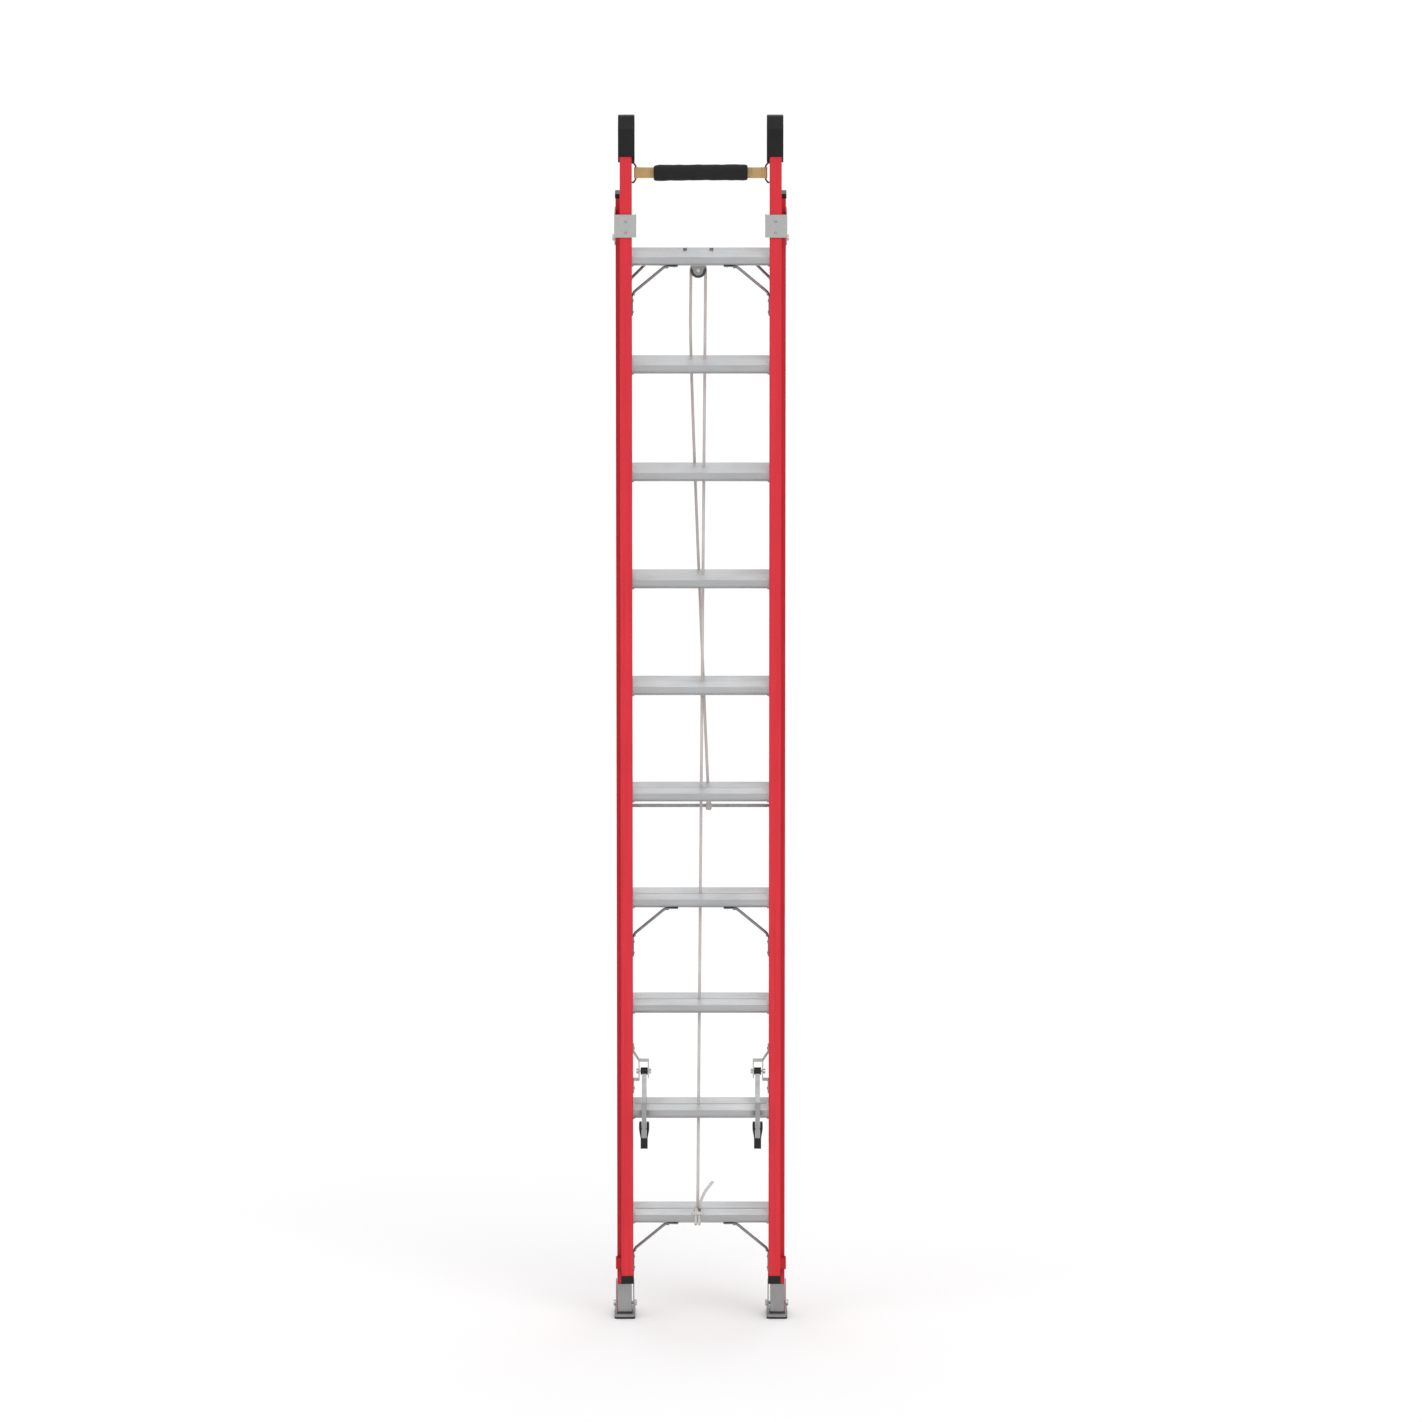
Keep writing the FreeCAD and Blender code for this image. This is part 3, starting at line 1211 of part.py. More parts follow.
def corner_radii(route):
    """For each corner, the largest bend that its two runs allow."""
    radii = []
    for before, corner, after in zip(route, route[1:], route[2:]):
        turn = (corner - before).getAngle(after - corner)
        shorter = min((corner - before).Length, (after - corner).Length)
        radii.append(0.45 * shorter / math.tan(turn / 2))
    return radii


# The rope's corners, chosen by hand: it bends only where it lies on a rung's edge.
EDGE_RADIUS = 60
KNOT_BEND_RADIUS = 40
ROPE_FRONT = [(11.4, 18, 2764), (-6.7, -19.2, 612), (-9, -28, 336.8)]
ROPE_REAR = [(-30, 68.4, 2764), (20, 69, 1514), (23, 52.9, 1490)]
ROPE_TAIL = [(-3, -43.35, 331.45), (-2, -47.7, 348.3), (5, -48, 368), (16, -47, 388), (34, -46, 410)]


def save():
    """Check every object, then write each piece to its own file."""
    doc.recompute()
    for thing in doc.Objects:
        if "Invalid" in thing.State or "Error" in thing.State:
            raise SystemExit(f"{thing.Name} did not build: {thing.State}")
    for thing in nodes:
        if thing.Shape.isNull() or not thing.Shape.isValid():
            raise SystemExit(f"{thing.Label} has no valid shape")
    os.makedirs("parts", exist_ok=True)
    for thing in nodes:
        thing.Shape.exportStep(f"parts/{thing.Label}.step")
    print(len(nodes), "nodes written")


fly_rails()
base_rails()
rungs()
end_caps()
mar_caps()
tie_rod()
braces()
rivets()
guide_brackets()
fly_hooks()
boots()
shoes()
pulley()
lock_brackets()
lock_arms()
lock_tongues()
strap()
rope()
save()
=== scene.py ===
"""Two-section extension ladder: the looks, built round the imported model."""

import json
import logging
import math
from dataclasses import dataclass, field
from enum import Enum

import bpy
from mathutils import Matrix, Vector


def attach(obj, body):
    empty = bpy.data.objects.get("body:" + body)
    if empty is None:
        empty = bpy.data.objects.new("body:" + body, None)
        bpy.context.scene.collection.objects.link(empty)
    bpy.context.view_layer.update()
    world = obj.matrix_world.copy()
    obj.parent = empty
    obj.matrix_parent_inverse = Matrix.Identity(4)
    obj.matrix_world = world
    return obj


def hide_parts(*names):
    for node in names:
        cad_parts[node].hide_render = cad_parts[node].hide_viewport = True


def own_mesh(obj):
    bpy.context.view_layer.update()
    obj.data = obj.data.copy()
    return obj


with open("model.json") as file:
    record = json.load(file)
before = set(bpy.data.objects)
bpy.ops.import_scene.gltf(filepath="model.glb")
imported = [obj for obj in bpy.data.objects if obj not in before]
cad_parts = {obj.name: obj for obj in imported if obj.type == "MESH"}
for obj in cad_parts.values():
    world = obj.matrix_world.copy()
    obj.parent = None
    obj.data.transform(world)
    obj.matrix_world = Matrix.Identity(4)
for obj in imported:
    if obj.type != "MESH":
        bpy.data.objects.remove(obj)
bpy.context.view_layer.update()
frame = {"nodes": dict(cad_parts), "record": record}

MM = 0.001
LOG = logging.getLogger("ladder")
Point = tuple[float, float, float]


def linear(hex_colour: str) -> tuple[float, float, float, float]:
    """Turns an sRGB hex colour into linear RGBA.

    Args:
        hex_colour: The colour, such as "#D02030".

    Returns:
        Red, green, blue and an alpha of one.
    """
    parts = [int(hex_colour[i : i + 2], 16) / 255 for i in (1, 3, 5)]
    red, green, blue = [p / 12.92 if p <= 0.04045 else ((p + 0.055) / 1.055) ** 2.4 for p in parts]
    return red, green, blue, 1.0


def add_node(
    tree: bpy.types.NodeTree,
    kind: str,
    settings: dict[str, object] | None = None,
    values: dict[int | str, object] | None = None,
    links: dict[int | str, bpy.types.NodeSocket] | None = None,
) -> bpy.types.Node:
    """Adds a node with its settings, socket values and links.

    Args:
        tree: The node tree that gets the node.
        kind: The node's type name.
        settings: The node's own properties.
        values: Input sockets, by name or number, and their values.
        links: Input sockets, by name or number, and the outputs that feed them.

    Returns:
        The new node.
    """
    node = tree.nodes.new(kind)
    for name, setting in (settings or {}).items():
        setattr(node, name, setting)
    for socket, number in (values or {}).items():
        node.inputs[socket].default_value = number
    for socket, output in (links or {}).items():
        tree.links.new(output, node.inputs[socket])
    return node


# Finishes ---------------------------------------------------------------------


class Pattern(Enum):
    """The kinds of surface pattern, each with its texture node."""

    GRAIN = "ShaderNodeTexNoise"
    CELLS = "ShaderNodeTexVoronoi"
    RIBS = "ShaderNodeTexWave"


# One wave of a wave texture at scale 1 is this long.
WAVE_PERIOD = 2 * math.pi / 20


@dataclass(frozen=True)
class Layer:
    """One pattern on a surface: its size in mm, how far it is drawn out, and what it changes."""

    pattern: Pattern
    pitch_mm: float
    drawn_out: tuple[float, float, float] = (1.0, 1.0, 1.0)
    tint: float = 0.0
    dulls: float = 0.0
    relief_mm: float = 0.0
    along: str = "X"

    def texture(
        self, tree: bpy.types.NodeTree, place: bpy.types.NodeSocket
    ) -> bpy.types.NodeSocket:
        """Adds the pattern's nodes.

        Args:
            tree: The material's node tree.
            place: The coordinates that the pattern reads, in metres.

        Returns:
            The pattern, from about 0 to 1.
        """
        pitch = self.pitch_mm * MM
        if self.pattern is Pattern.RIBS:
            pitch /= WAVE_PERIOD
        scale = tuple(1 / (pitch * run) for run in self.drawn_out)
        laid = add_node(tree, "ShaderNodeMapping", values={"Scale": scale}, links={"Vector": place})
        settings, values, output = {}, {"Scale": 1.0}, 0
        if self.pattern is Pattern.GRAIN:
            values["Detail"] = 3.0
        if self.pattern is Pattern.RIBS:
            settings, output = {"wave_type": "BANDS", "bands_direction": self.along}, 1
        texture = add_node(tree, self.pattern.value, settings, values, {"Vector": laid.outputs[0]})
        low, high = (0.3, 0.7) if self.pattern is Pattern.GRAIN else (0.0, 1.0)
        even = add_node(tree, "ShaderNodeMapRange", values={"From Min": low, "From Max": high},
                        links={"Value": texture.outputs[output]})
        return even.outputs[0]


@dataclass(frozen=True)
class Finish:
    """A real material: its colours, how it reflects, and the patterns on it."""

    name: str
    colour: str
    hollows: str
    roughness: float
    metallic: float = 0.0
    ior: float = 1.5
    specular: float = 0.5
    sheen: float = 0.0
    by_uv: bool = False
    layers: tuple[Layer, ...] = ()

    def material(self) -> bpy.types.Material:
        """Builds the material.

        Returns:
            A node material that reads object coordinates or the piece's own UV map.
        """
        made = bpy.data.materials.new(self.name)
        made.use_nodes = True
        tree = made.node_tree
        tree.nodes.clear()
        values = {
            "Base Color": linear(self.colour), "Roughness": self.roughness,
            "Metallic": self.metallic, "Specular IOR Level": self.specular,
            "Sheen Weight": self.sheen}
        if not self.metallic:
            values["IOR"] = self.ior
        shader = add_node(tree, "ShaderNodeBsdfPrincipled", values=values)
        place = add_node(tree, "ShaderNodeTexCoord").outputs["UV" if self.by_uv else "Object"]
        colour = dullness = relief = None
        for layer in self.layers:
            pattern = layer.texture(tree, place)
            if layer.tint:
                share = add_node(tree, "ShaderNodeMath", {"operation": "MULTIPLY"},
                                 {1: layer.tint}, {0: pattern})
                mix = add_node(tree, "ShaderNodeMix", {"data_type": "RGBA"},
                               {6: linear(self.colour), 7: linear(self.hollows)},
                               {0: share.outputs[0]})
                if colour:
                    tree.links.new(colour, mix.inputs[6])
                colour = mix.outputs[2]
            if layer.dulls:
                more = add_node(tree, "ShaderNodeMath", {"operation": "MULTIPLY_ADD"},
                                {1: layer.dulls, 2: self.roughness - layer.dulls / 2}, {0: pattern})
                if dullness:
                    tree.links.new(dullness, more.inputs[2])
                dullness = more.outputs[0]
            if layer.relief_mm:
                depth = {"Strength": 1.0, "Distance": layer.relief_mm * MM}
                bump = add_node(tree, "ShaderNodeBump", values=depth, links={"Height": pattern})
                if relief:
                    tree.links.new(relief, bump.inputs["Normal"])
                relief = bump.outputs[0]
        for socket, output in (("Base Color", colour), ("Roughness", dullness), ("Normal", relief)):
            if output:
                tree.links.new(output, shader.inputs[socket])
        add_node(tree, "ShaderNodeOutputMaterial", links={"Surface": shader.outputs[0]})
        return made


ALONG_X, ALONG_Z = (60.0, 1.0, 1.0), (1.0, 1.0, 80.0)
HANDLING = Layer(Pattern.GRAIN, 140, dulls=0.10, tint=0.25)

# Pultruded glass fibre in pigmented polyester: resin gloss over fibres that run up the rail.
# The fibre bundles are 1 mm wide, drawn at 5 mm so that they show.
FIBREGLASS = Finish("pultruded_fibreglass", "#D82634", "#B31623", 0.42, ior=1.55, specular=0.32,
    layers=(
    Layer(Pattern.GRAIN, 5, ALONG_Z, tint=0.45, dulls=0.10, relief_mm=0.06),
    Layer(Pattern.GRAIN, 1.6, (1.0, 1.0, 20.0), tint=0.15, relief_mm=0.03),
    HANDLING))

# Extruded aluminium as it leaves the press: soft sheen with die lines along the rung.
# Die lines are 0.2 mm apart, drawn at 1.5 mm so that they show.
RUNG_ALUMINIUM = Finish("extruded_aluminium", "#B9BABB", "#96989A", 0.34, 1.0, layers=(
    Layer(Pattern.GRAIN, 1.5, ALONG_X, tint=0.35, dulls=0.14, relief_mm=0.02),
    HANDLING))

# Bright zinc on steel rod: even grey with a slightly cloudy gloss.
BRACE_STEEL = Finish("zinc_plated_rod", "#8B8C8D", "#6C6D6E", 0.38, 1.0, layers=(
    Layer(Pattern.GRAIN, 9, tint=0.4, dulls=0.16), Layer(Pattern.GRAIN, 1.2, relief_mm=0.02)))
ROD_STEEL = Finish("zinc_plated_tie_rod", "#A2A3A4", "#808182", 0.34, 1.0, layers=(
    Layer(Pattern.GRAIN, 9, tint=0.4, dulls=0.16), Layer(Pattern.GRAIN, 1.2, relief_mm=0.02)))
# Steel rivets, set cold and plated: small bright heads.
RIVET_STEEL = Finish("plated_rivet_steel", "#B4B5B6", "#8F9091", 0.34, 1.0, layers=(
    Layer(Pattern.GRAIN, 3, tint=0.5, dulls=0.2, relief_mm=0.03),))
# Galvanised sheet: faint crystals of zinc, 5 mm across, in a dull silver.
ZINC_SHEET = Finish("galvanised_sheet", "#BDBEBC", "#9FA09F", 0.44, 1.0, layers=(
    Layer(Pattern.CELLS, 5, tint=0.35, dulls=0.14), Layer(Pattern.GRAIN, 1.0, relief_mm=0.03),
    HANDLING))
# Die-cast aluminium, tumbled: matt silver with a fine sandy skin.
LOCK_CASTING = Finish("die_cast_aluminium", "#A6A7A7", "#868788", 0.48, 1.0, layers=(
    Layer(Pattern.GRAIN, 1.4, relief_mm=0.08), Layer(Pattern.GRAIN, 22, tint=0.4, dulls=0.12)))
# Stamped aluminium plate of the shoes: satin grey, scuffed by floors.
SHOE_PLATE = Finish("stamped_aluminium", "#9FA0A0", "#7F8081", 0.44, 1.0, layers=(
    Layer(Pattern.GRAIN, 2.2, (1.0, 1.0, 14.0), tint=0.3, dulls=0.14, relief_mm=0.03), HANDLING))
# Heavy zinc-plated steel stampings for the boots and the pulley's bracket: a darker grey than
# thin sheet.
STAMPED_STEEL = Finish("stamped_zinc_steel", "#A9AAAA", "#8A8B8B", 0.46, 1.0, layers=(
    Layer(Pattern.GRAIN, 2.2, (1.0, 1.0, 10.0), tint=0.3, dulls=0.12, relief_mm=0.03), HANDLING))
BOLT_ZINC = Finish("bright_zinc_bolt", "#C9C9C7", "#9FA0A0", 0.30, 1.0, layers=(
    Layer(Pattern.GRAIN, 2.5, tint=0.4, dulls=0.2, relief_mm=0.02),))
RING_WIRE = Finish("bronzed_steel_wire", "#6A564B", "#43352E", 0.36, 1.0, layers=(
    Layer(Pattern.GRAIN, 4, tint=0.6, dulls=0.2),))
# Glass-filled nylon: dull black with a fine moulded texture.
BLACK_NYLON = Finish("glass_filled_nylon", "#141313", "#0B0B0B", 0.48, ior=1.53, specular=0.3,
    layers=(
    Layer(Pattern.GRAIN, 1.0, relief_mm=0.05, dulls=0.1), Layer(Pattern.GRAIN, 25, tint=0.5)))
SHEAVE_NYLON = Finish("turned_nylon", "#3A3A3B", "#242425", 0.36, ior=1.53, layers=(
    Layer(Pattern.GRAIN, 1.0, relief_mm=0.03, dulls=0.1),))
# Moulded rubber: near black, broad soft highlights, dusty where hands and walls touch.
CAP_RUBBER = Finish("moulded_rubber", "#121212", "#0B0B0B", 0.5, ior=1.52, specular=0.25, layers=(
    Layer(Pattern.GRAIN, 1.3, relief_mm=0.10), Layer(Pattern.GRAIN, 40, tint=0.8, dulls=0.14)))
CAP_PLASTIC = Finish("moulded_polyethylene", "#151312", "#0D0C0C", 0.42, ior=1.51, specular=0.3,
    layers=(
    Layer(Pattern.GRAIN, 1.2, relief_mm=0.05, dulls=0.1), Layer(Pattern.GRAIN, 30, tint=0.6)))
TREAD_RUBBER = Finish("ribbed_tread_rubber", "#131313", "#0A0A0A", 0.66, ior=1.52, specular=0.3,
    layers=(
    Layer(Pattern.GRAIN, 1.6, relief_mm=0.14, dulls=0.1), Layer(Pattern.GRAIN, 20, tint=0.7)))
# Polypropylene webbing: 2 mm ribs across the strap, in sun-faded tan.
WEBBING = Finish("woven_polypropylene", "#CFB177", "#A0844E", 0.78, sheen=0.25, by_uv=True,
    layers=(
    Layer(Pattern.RIBS, 2.0, tint=0.45, relief_mm=0.35),
    Layer(Pattern.RIBS, 3.0, relief_mm=0.25, along="Y", tint=0.25),
    Layer(Pattern.GRAIN, 18, tint=0.3)))
THREAD = Finish("bonded_thread", "#B79F6C", "#8C7748", 0.6, sheen=0.2, layers=(
    Layer(Pattern.GRAIN, 0.8, relief_mm=0.1, tint=0.4),))
# Foam-backed knit sleeve: matt black cloth of fine cells over closed foam.
SLEEVE_CLOTH = Finish("foam_sleeve_cloth", "#1E1E1E", "#131313", 0.88, specular=0.3, sheen=0.08,
    layers=(
    Layer(Pattern.CELLS, 1.6, relief_mm=0.18, tint=0.4),
    Layer(Pattern.GRAIN, 24, tint=0.5, relief_mm=0.5)))
# Braided polypropylene rope: pale grey yarns, a little glossy, dirt in the braid.
ROPE_YARN = Finish("braided_polypropylene", "#D6D5D2", "#AAA9A5", 0.55, sheen=0.15, layers=(
    Layer(Pattern.GRAIN, 0.9, tint=0.35, relief_mm=0.12), Layer(Pattern.GRAIN, 60, tint=0.35)))

# Nodes whose own finish differs from the rest of their slot.
NODE_FINISHES = {"base_boots": STAMPED_STEEL, "pulley_bracket": STAMPED_STEEL}

SLOT_FINISHES = {
    "fibreglass_red": FIBREGLASS, "rung_aluminium": RUNG_ALUMINIUM, "brace_steel": BRACE_STEEL,
    "rivet_steel": RIVET_STEEL, "zinc_plate": ZINC_SHEET, "lock_casting": LOCK_CASTING,
    "black_nylon": BLACK_NYLON, "cap_rubber": CAP_RUBBER, "cap_plastic": CAP_PLASTIC,
    "tread_rubber": TREAD_RUBBER, "shoe_plate": SHOE_PLATE, "rod_steel": ROD_STEEL,
    "bolt_zinc": BOLT_ZINC, "sheave_nylon": SHEAVE_NYLON, "ring_wire": RING_WIRE,
    "webbing": WEBBING, "sleeve_foam": SLEEVE_CLOTH, "rope_fibre": ROPE_YARN,
}


@dataclass
class Paints:
    """The materials, each made once, the first time that a piece asks for it."""

    made: dict[str, bpy.types.Material] = field(default_factory=dict)

    def of(self, finish: Finish) -> bpy.types.Material:
        """The material of a finish.

        Args:
            finish: The finish.

        Returns:
            Its material.
        """
        if finish.name not in self.made:
            self.made[finish.name] = finish.material()
        return self.made[finish.name]

    def dress(self, piece: bpy.types.Object, finish: Finish) -> None:
        """Gives a piece its finish through its material slots.

        Args:
            piece: The object.
            finish: The finish.
        """
        if not piece.material_slots:
            piece.data.materials.append(None)
        for slot in piece.material_slots:
            slot.material = self.of(finish)


# Mesh helpers -----------------------------------------------------------------


def deselect() -> None:
    """Leaves nothing selected, in object mode."""
    if bpy.context.object and bpy.context.object.mode != "OBJECT":
        bpy.ops.object.mode_set(mode="OBJECT")
    bpy.ops.object.select_all(action="DESELECT")


def settle(piece: bpy.types.Object, name: str) -> bpy.types.Object:
    """Names a piece and moves its place and turn into its mesh.

    Args:
        piece: The object, which becomes the only selected one.
        name: Its name.

    Returns:
        The same object, at the origin.
    """
    deselect()
    piece.name = piece.data.name = name
    piece.select_set(True)
    bpy.context.view_layer.objects.active = piece
    bpy.ops.object.transform_apply(location=True, rotation=True, scale=True)
    return piece


def apply_all(piece: bpy.types.Object) -> None:
    """Applies a piece's modifiers in order.

    Args:
        piece: The object.
    """
    deselect()
    piece.select_set(True)
    bpy.context.view_layer.objects.active = piece
    for modifier in list(piece.modifiers):
        bpy.ops.object.modifier_apply(modifier=modifier.name)


def new_mesh(
    name: str, points: list[Vector], faces: list[tuple[int, ...]]
) -> bpy.types.Object:
    """Makes a mesh object in the scene, shaded smooth.

    Args:
        name: The object's name.
        points: Its corners, in metres.
        faces: Its faces, as corner numbers.

    Returns:
        The object, at the origin.
    """
    mesh = bpy.data.meshes.new(name)
    mesh.from_pydata([tuple(p) for p in points], [], faces)
    mesh.update()
    mesh.shade_smooth()
    piece = bpy.data.objects.new(name, mesh)
    bpy.context.scene.collection.objects.link(piece)
    return piece


def smooth_line(route: list[Point], step: float) -> list[Vector]:
    """Reads evenly spaced points from a NURBS spline.

    Args:
        route: The spline's control points, in mm.
        step: The spacing of the points read, in metres.

    Returns:
        Points along the spline, from its first control point to its last, in metres.
    """
    curve = bpy.data.curves.new("route", "CURVE")
    curve.dimensions = "3D"
    curve.resolution_u = 64
    spline = curve.splines.new("NURBS")
    spline.points.add(len(route) - 1)
    for point, spot in zip(spline.points, route):
        point.co = (*[x * MM for x in spot], 1.0)
    spline.order_u = 3
    spline.use_endpoint_u = True
    holder = bpy.data.objects.new("route", curve)
    bpy.context.scene.collection.objects.link(holder)
    bpy.context.view_layer.update()
    read = bpy.data.meshes.new_from_object(holder)
    fine = [v.co.copy() for v in read.vertices]
    bpy.data.objects.remove(holder)
    bpy.data.curves.remove(curve)
    bpy.data.meshes.remove(read)
    reach = [0.0]
    for a, b in zip(fine, fine[1:]):
        reach.append(reach[-1] + (b - a).length)
    count = max(2, round(reach[-1] / step))
    line, i = [], 0
    for k in range(count + 1):
        goal = reach[-1] * k / count
        while i < len(fine) - 2 and reach[i + 1] < goal:
            i += 1
        run = reach[i + 1] - reach[i]
        line.append(fine[i].lerp(fine[i + 1], (goal - reach[i]) / run if run else 0.0))
    return line


def carried_frames(line: list[Vector]) -> list[tuple[Vector, Vector]]:
    """Two directions square to a line at each of its points, carried along without twist.

    Args:
        line: The points.

    Returns:
        A pair of unit vectors for each point.
    """
    frames = []
    last = len(line) - 1
    side = Vector((0.3, 1.0, 0.2))
    for i in range(len(line)):
        along = (line[min(i + 1, last)] - line[max(i - 1, 0)]).normalized()
        side = (side - along * side.dot(along)).normalized()
        frames.append((side.copy(), along.cross(side)))
    return frames


# Ropework ---------------------------------------------------------------------


@dataclass
class Ropework:
    """The hoisting rope: over the pulley, tied to the tie rod and round the lowest fly rung."""

    paints: Paints
    diameter: float = 8.0
    step: float = 3.0
    strands: int = 4
    braid_lay: float = 46.0
    yarn_half_width: float = 1.9
    yarn_half_thickness: float = 1.0
    yarn_centre: float = 3.05
    yarn_weave: float = 0.4
    core_radius: float = 3.0
    yarn_sides: int = 6
    fly_y: float = -44.0
    rung_z: float = 310.0
    rung_tilt: float = math.radians(14.5)
    drum_z: float = 3008.2
    front_length: float = 2.674
    rear_length: float = 1.589
    tail_length: float = 0.089
    travel: float = 2.1336
    # The route of the front fall, from the pulley to the lowest fly rung.
    front: tuple[Point, ...] = (
        (13.5, 44, 3008.2), (13.5, 44, 2980.2), (11.4, 18, 2764), (-6.7, -19.2, 612),
        (-9, -28, 336.8))
    # The rear fall goes over the pulley and down to the tie rod.
    rear: tuple[Point, ...] = (
        (13.5, 44, 3008.2), (13.5, 44, 3016.7), (1.5, 44, 3028.7), (-15.5, 44, 3028.7),
        (-27.5, 44, 3016.7), (-27.5, 44, 2980.2), (-30, 68.4, 2764), (20, 69, 1514),
        (23, 52.9, 1490))
    tail: tuple[Point, ...] = (
        (-3, -43.35, 331.45), (-2, -47.7, 348.3), (5, -48, 368), (16, -47, 388), (34, -46, 410))
    # One turn round the rung's section, from the back of the tread over the front and under.
    turn: tuple[tuple[float, float], ...] = (
        (16, 16.5), (0, 16.4), (-16, 16.5), (-22.9, 15.9), (-23.5, 9), (-23.4, -1),
        (-23.4, -10.7), (-9.7, -24.4), (9.7, -24.4), (23.4, -10.7), (23.4, -1), (23.5, 9),
        (22.9, 15.9))
    # The band that locks the turns, each point as x and its place on the rung's section.
    band: tuple[Point, ...] = (
        (-20, -19, 16.6), (-24.4, -22.5, 18.5), (-21, -27, 21.5), (-14, -28.8, 22.6),
        (-5, -28.8, 22.6), (2, -27, 21.5), (5, -22.5, 18.5), (0.6, -19, 16.6))
    # Where each turn of the hitch lies along the rung.
    turn_places: tuple[float, float] = (-14.6, -4.6)
    # The tie: turns round the rod in steps of 45 degrees, moving along it.
    rod_x: float = 23.0
    rod_y: float = 44.0
    rod_z: float = 1480.2
    rod_clearance: float = 5.4
    tie_slack: float = 1.08
    tie_advance: float = 0.55

    def on_rung(self, x: float, across: float, up: float) -> Point:
        """Turns a place on the tilted rung's section into the ladder's frame.

        Args:
            x: Place along the rung, in mm.
            across: Place across the tread, towards the wall, in mm.
            up: Height above the section's centre, in mm.

        Returns:
            The point, in mm.
        """
        c, s = math.cos(self.rung_tilt), math.sin(self.rung_tilt)
        return x, self.fly_y + across * c - up * s, self.rung_z + across * s + up * c

    def braid(self, name: str, routes: list[list[Point]]) -> bpy.types.Object:
        """Braids a rope along routes: a core, and yarns that wind both ways over and under.

        Args:
            name: The piece's name.
            routes: The control points of each length of rope, in mm.

        Returns:
            The rope as one mesh.
        """
        points: list[Vector] = []
        faces: list[tuple[int, ...]] = []
        for route in routes:
            line = smooth_line(route, self.step * MM)
            frames = carried_frames(line)
            self.pipe(points, faces, line, frames, [(0.0, 0.0)] * len(line),
                      self.core_radius, self.core_radius)
            for way in (1, -1):
                for k in range(self.strands):
                    offsets = []
                    for i in range(len(line)):
                        turns = i * self.step / self.braid_lay
                        wave = math.cos(2 * math.pi * self.strands * turns)
                        lift = way * self.yarn_weave * wave
                        angle = 2 * math.pi * (way * turns + k / self.strands)
                        offsets.append((angle, self.yarn_centre + lift))
                    self.pipe(points, faces, line, frames, offsets,
                              self.yarn_half_width, self.yarn_half_thickness)
        return new_mesh(name, points, faces)

    def pipe(
        self, points: list[Vector], faces: list[tuple[int, ...]], line: list[Vector],
        frames: list[tuple[Vector, Vector]], offsets: list[tuple[float, float]],
        wide: float, thick: float,
    ) -> None:
        """Adds one closed pipe that follows a line at a turning offset.

        Args:
            points: The mesh's corners, which grow.
            faces: The mesh's faces, which grow.
            line: The rope's centreline, in metres.
            frames: The two directions square to it at each point.
            offsets: For each point, the angle and distance in mm of the pipe's own centre.
            wide: Half its width round the rope, in mm.
            thick: Half its thickness outwards, in mm.
        """
        n, start = self.yarn_sides, len(points)
        for spot, (side, up), (angle, away) in zip(line, frames, offsets):
            out = side * math.cos(angle) + up * math.sin(angle)
            round_it = up * math.cos(angle) - side * math.sin(angle)
            for j in range(n):
                a = 2 * math.pi * j / n
                outwards = out * (away + thick * math.cos(a))
                points.append(spot + (outwards + round_it * (wide * math.sin(a))) * MM)
        rings = len(line)
        for i in range(rings - 1):
            for j in range(n):
                a, b = start + i * n + j, start + i * n + (j + 1) % n
                faces.append((a, b, b + n, a + n))
        faces.append(tuple(start + j for j in reversed(range(n))))
        faces.append(tuple(start + (rings - 1) * n + j for j in range(n)))

    def finish(self, piece: bpy.types.Object, body: str) -> None:
        """Dresses a rope piece and lets it ride.

        Args:
            piece: The piece.
            body: The CAD body that it moves with.
        """
        self.paints.dress(piece, ROPE_YARN)
        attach(piece, body)
        LOG.info("%s: %d faces", piece.name, len(piece.data.polygons))

    def build(self) -> None:
        hitch_route = [self.front[-1], self.on_rung(-11, 21, 19)]
        first = self.turn_places[0]
        for number, x in enumerate(self.turn_places):
            for k, (across, up) in enumerate(self.turn):
                share = min(k / 4, 1.0) if number else 1.0
                hitch_route.append(self.on_rung(first + (x - first) * share, across, up))
        for spot in ((-3.6, 17, 18.4), (-3, 8, 19), (-3, 6, 21)):
            hitch_route.append(self.on_rung(*spot))
        band_route = [self.on_rung(*spot) for spot in self.band]
        hitch = self.braid("rope_hitch_turns", [hitch_route, band_route])
        self.finish(hitch, "fly")

        winding = (self.diameter / 2 + self.rod_clearance) * self.tie_slack
        tie_route = [self.rear[-1]]
        for k in range(2, 21):
            angle = math.radians(60 + 45 * k)
            tie_route.append((self.rod_x - self.tie_advance * (k - 10),
                              self.rod_y + winding * math.cos(angle),
                              self.rod_z + winding * math.sin(angle)))
        tie = self.braid("rope_tie_turns", [tie_route])
        self.finish(tie, "base")

        rear = self.braid("rope_rear_fall", [list(self.rear)])
        self.finish(rear, "base")
        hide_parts("rope_rear")
        smooth_line(list(self.rear), 0.01)

        tail = self.braid("rope_tail", [list(self.tail)])
        self.finish(tail, "fly")
        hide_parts("rope_knot")
        smooth_line(list(self.tail), 0.005)

        front = self.braid("rope_front_fall", [list(self.front)])
        self.finish(front, "base")
        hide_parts("rope_front")
        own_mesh(front)
        smooth_line(list(self.front), 0.01)


# Pole strap -------------------------------------------------------------------


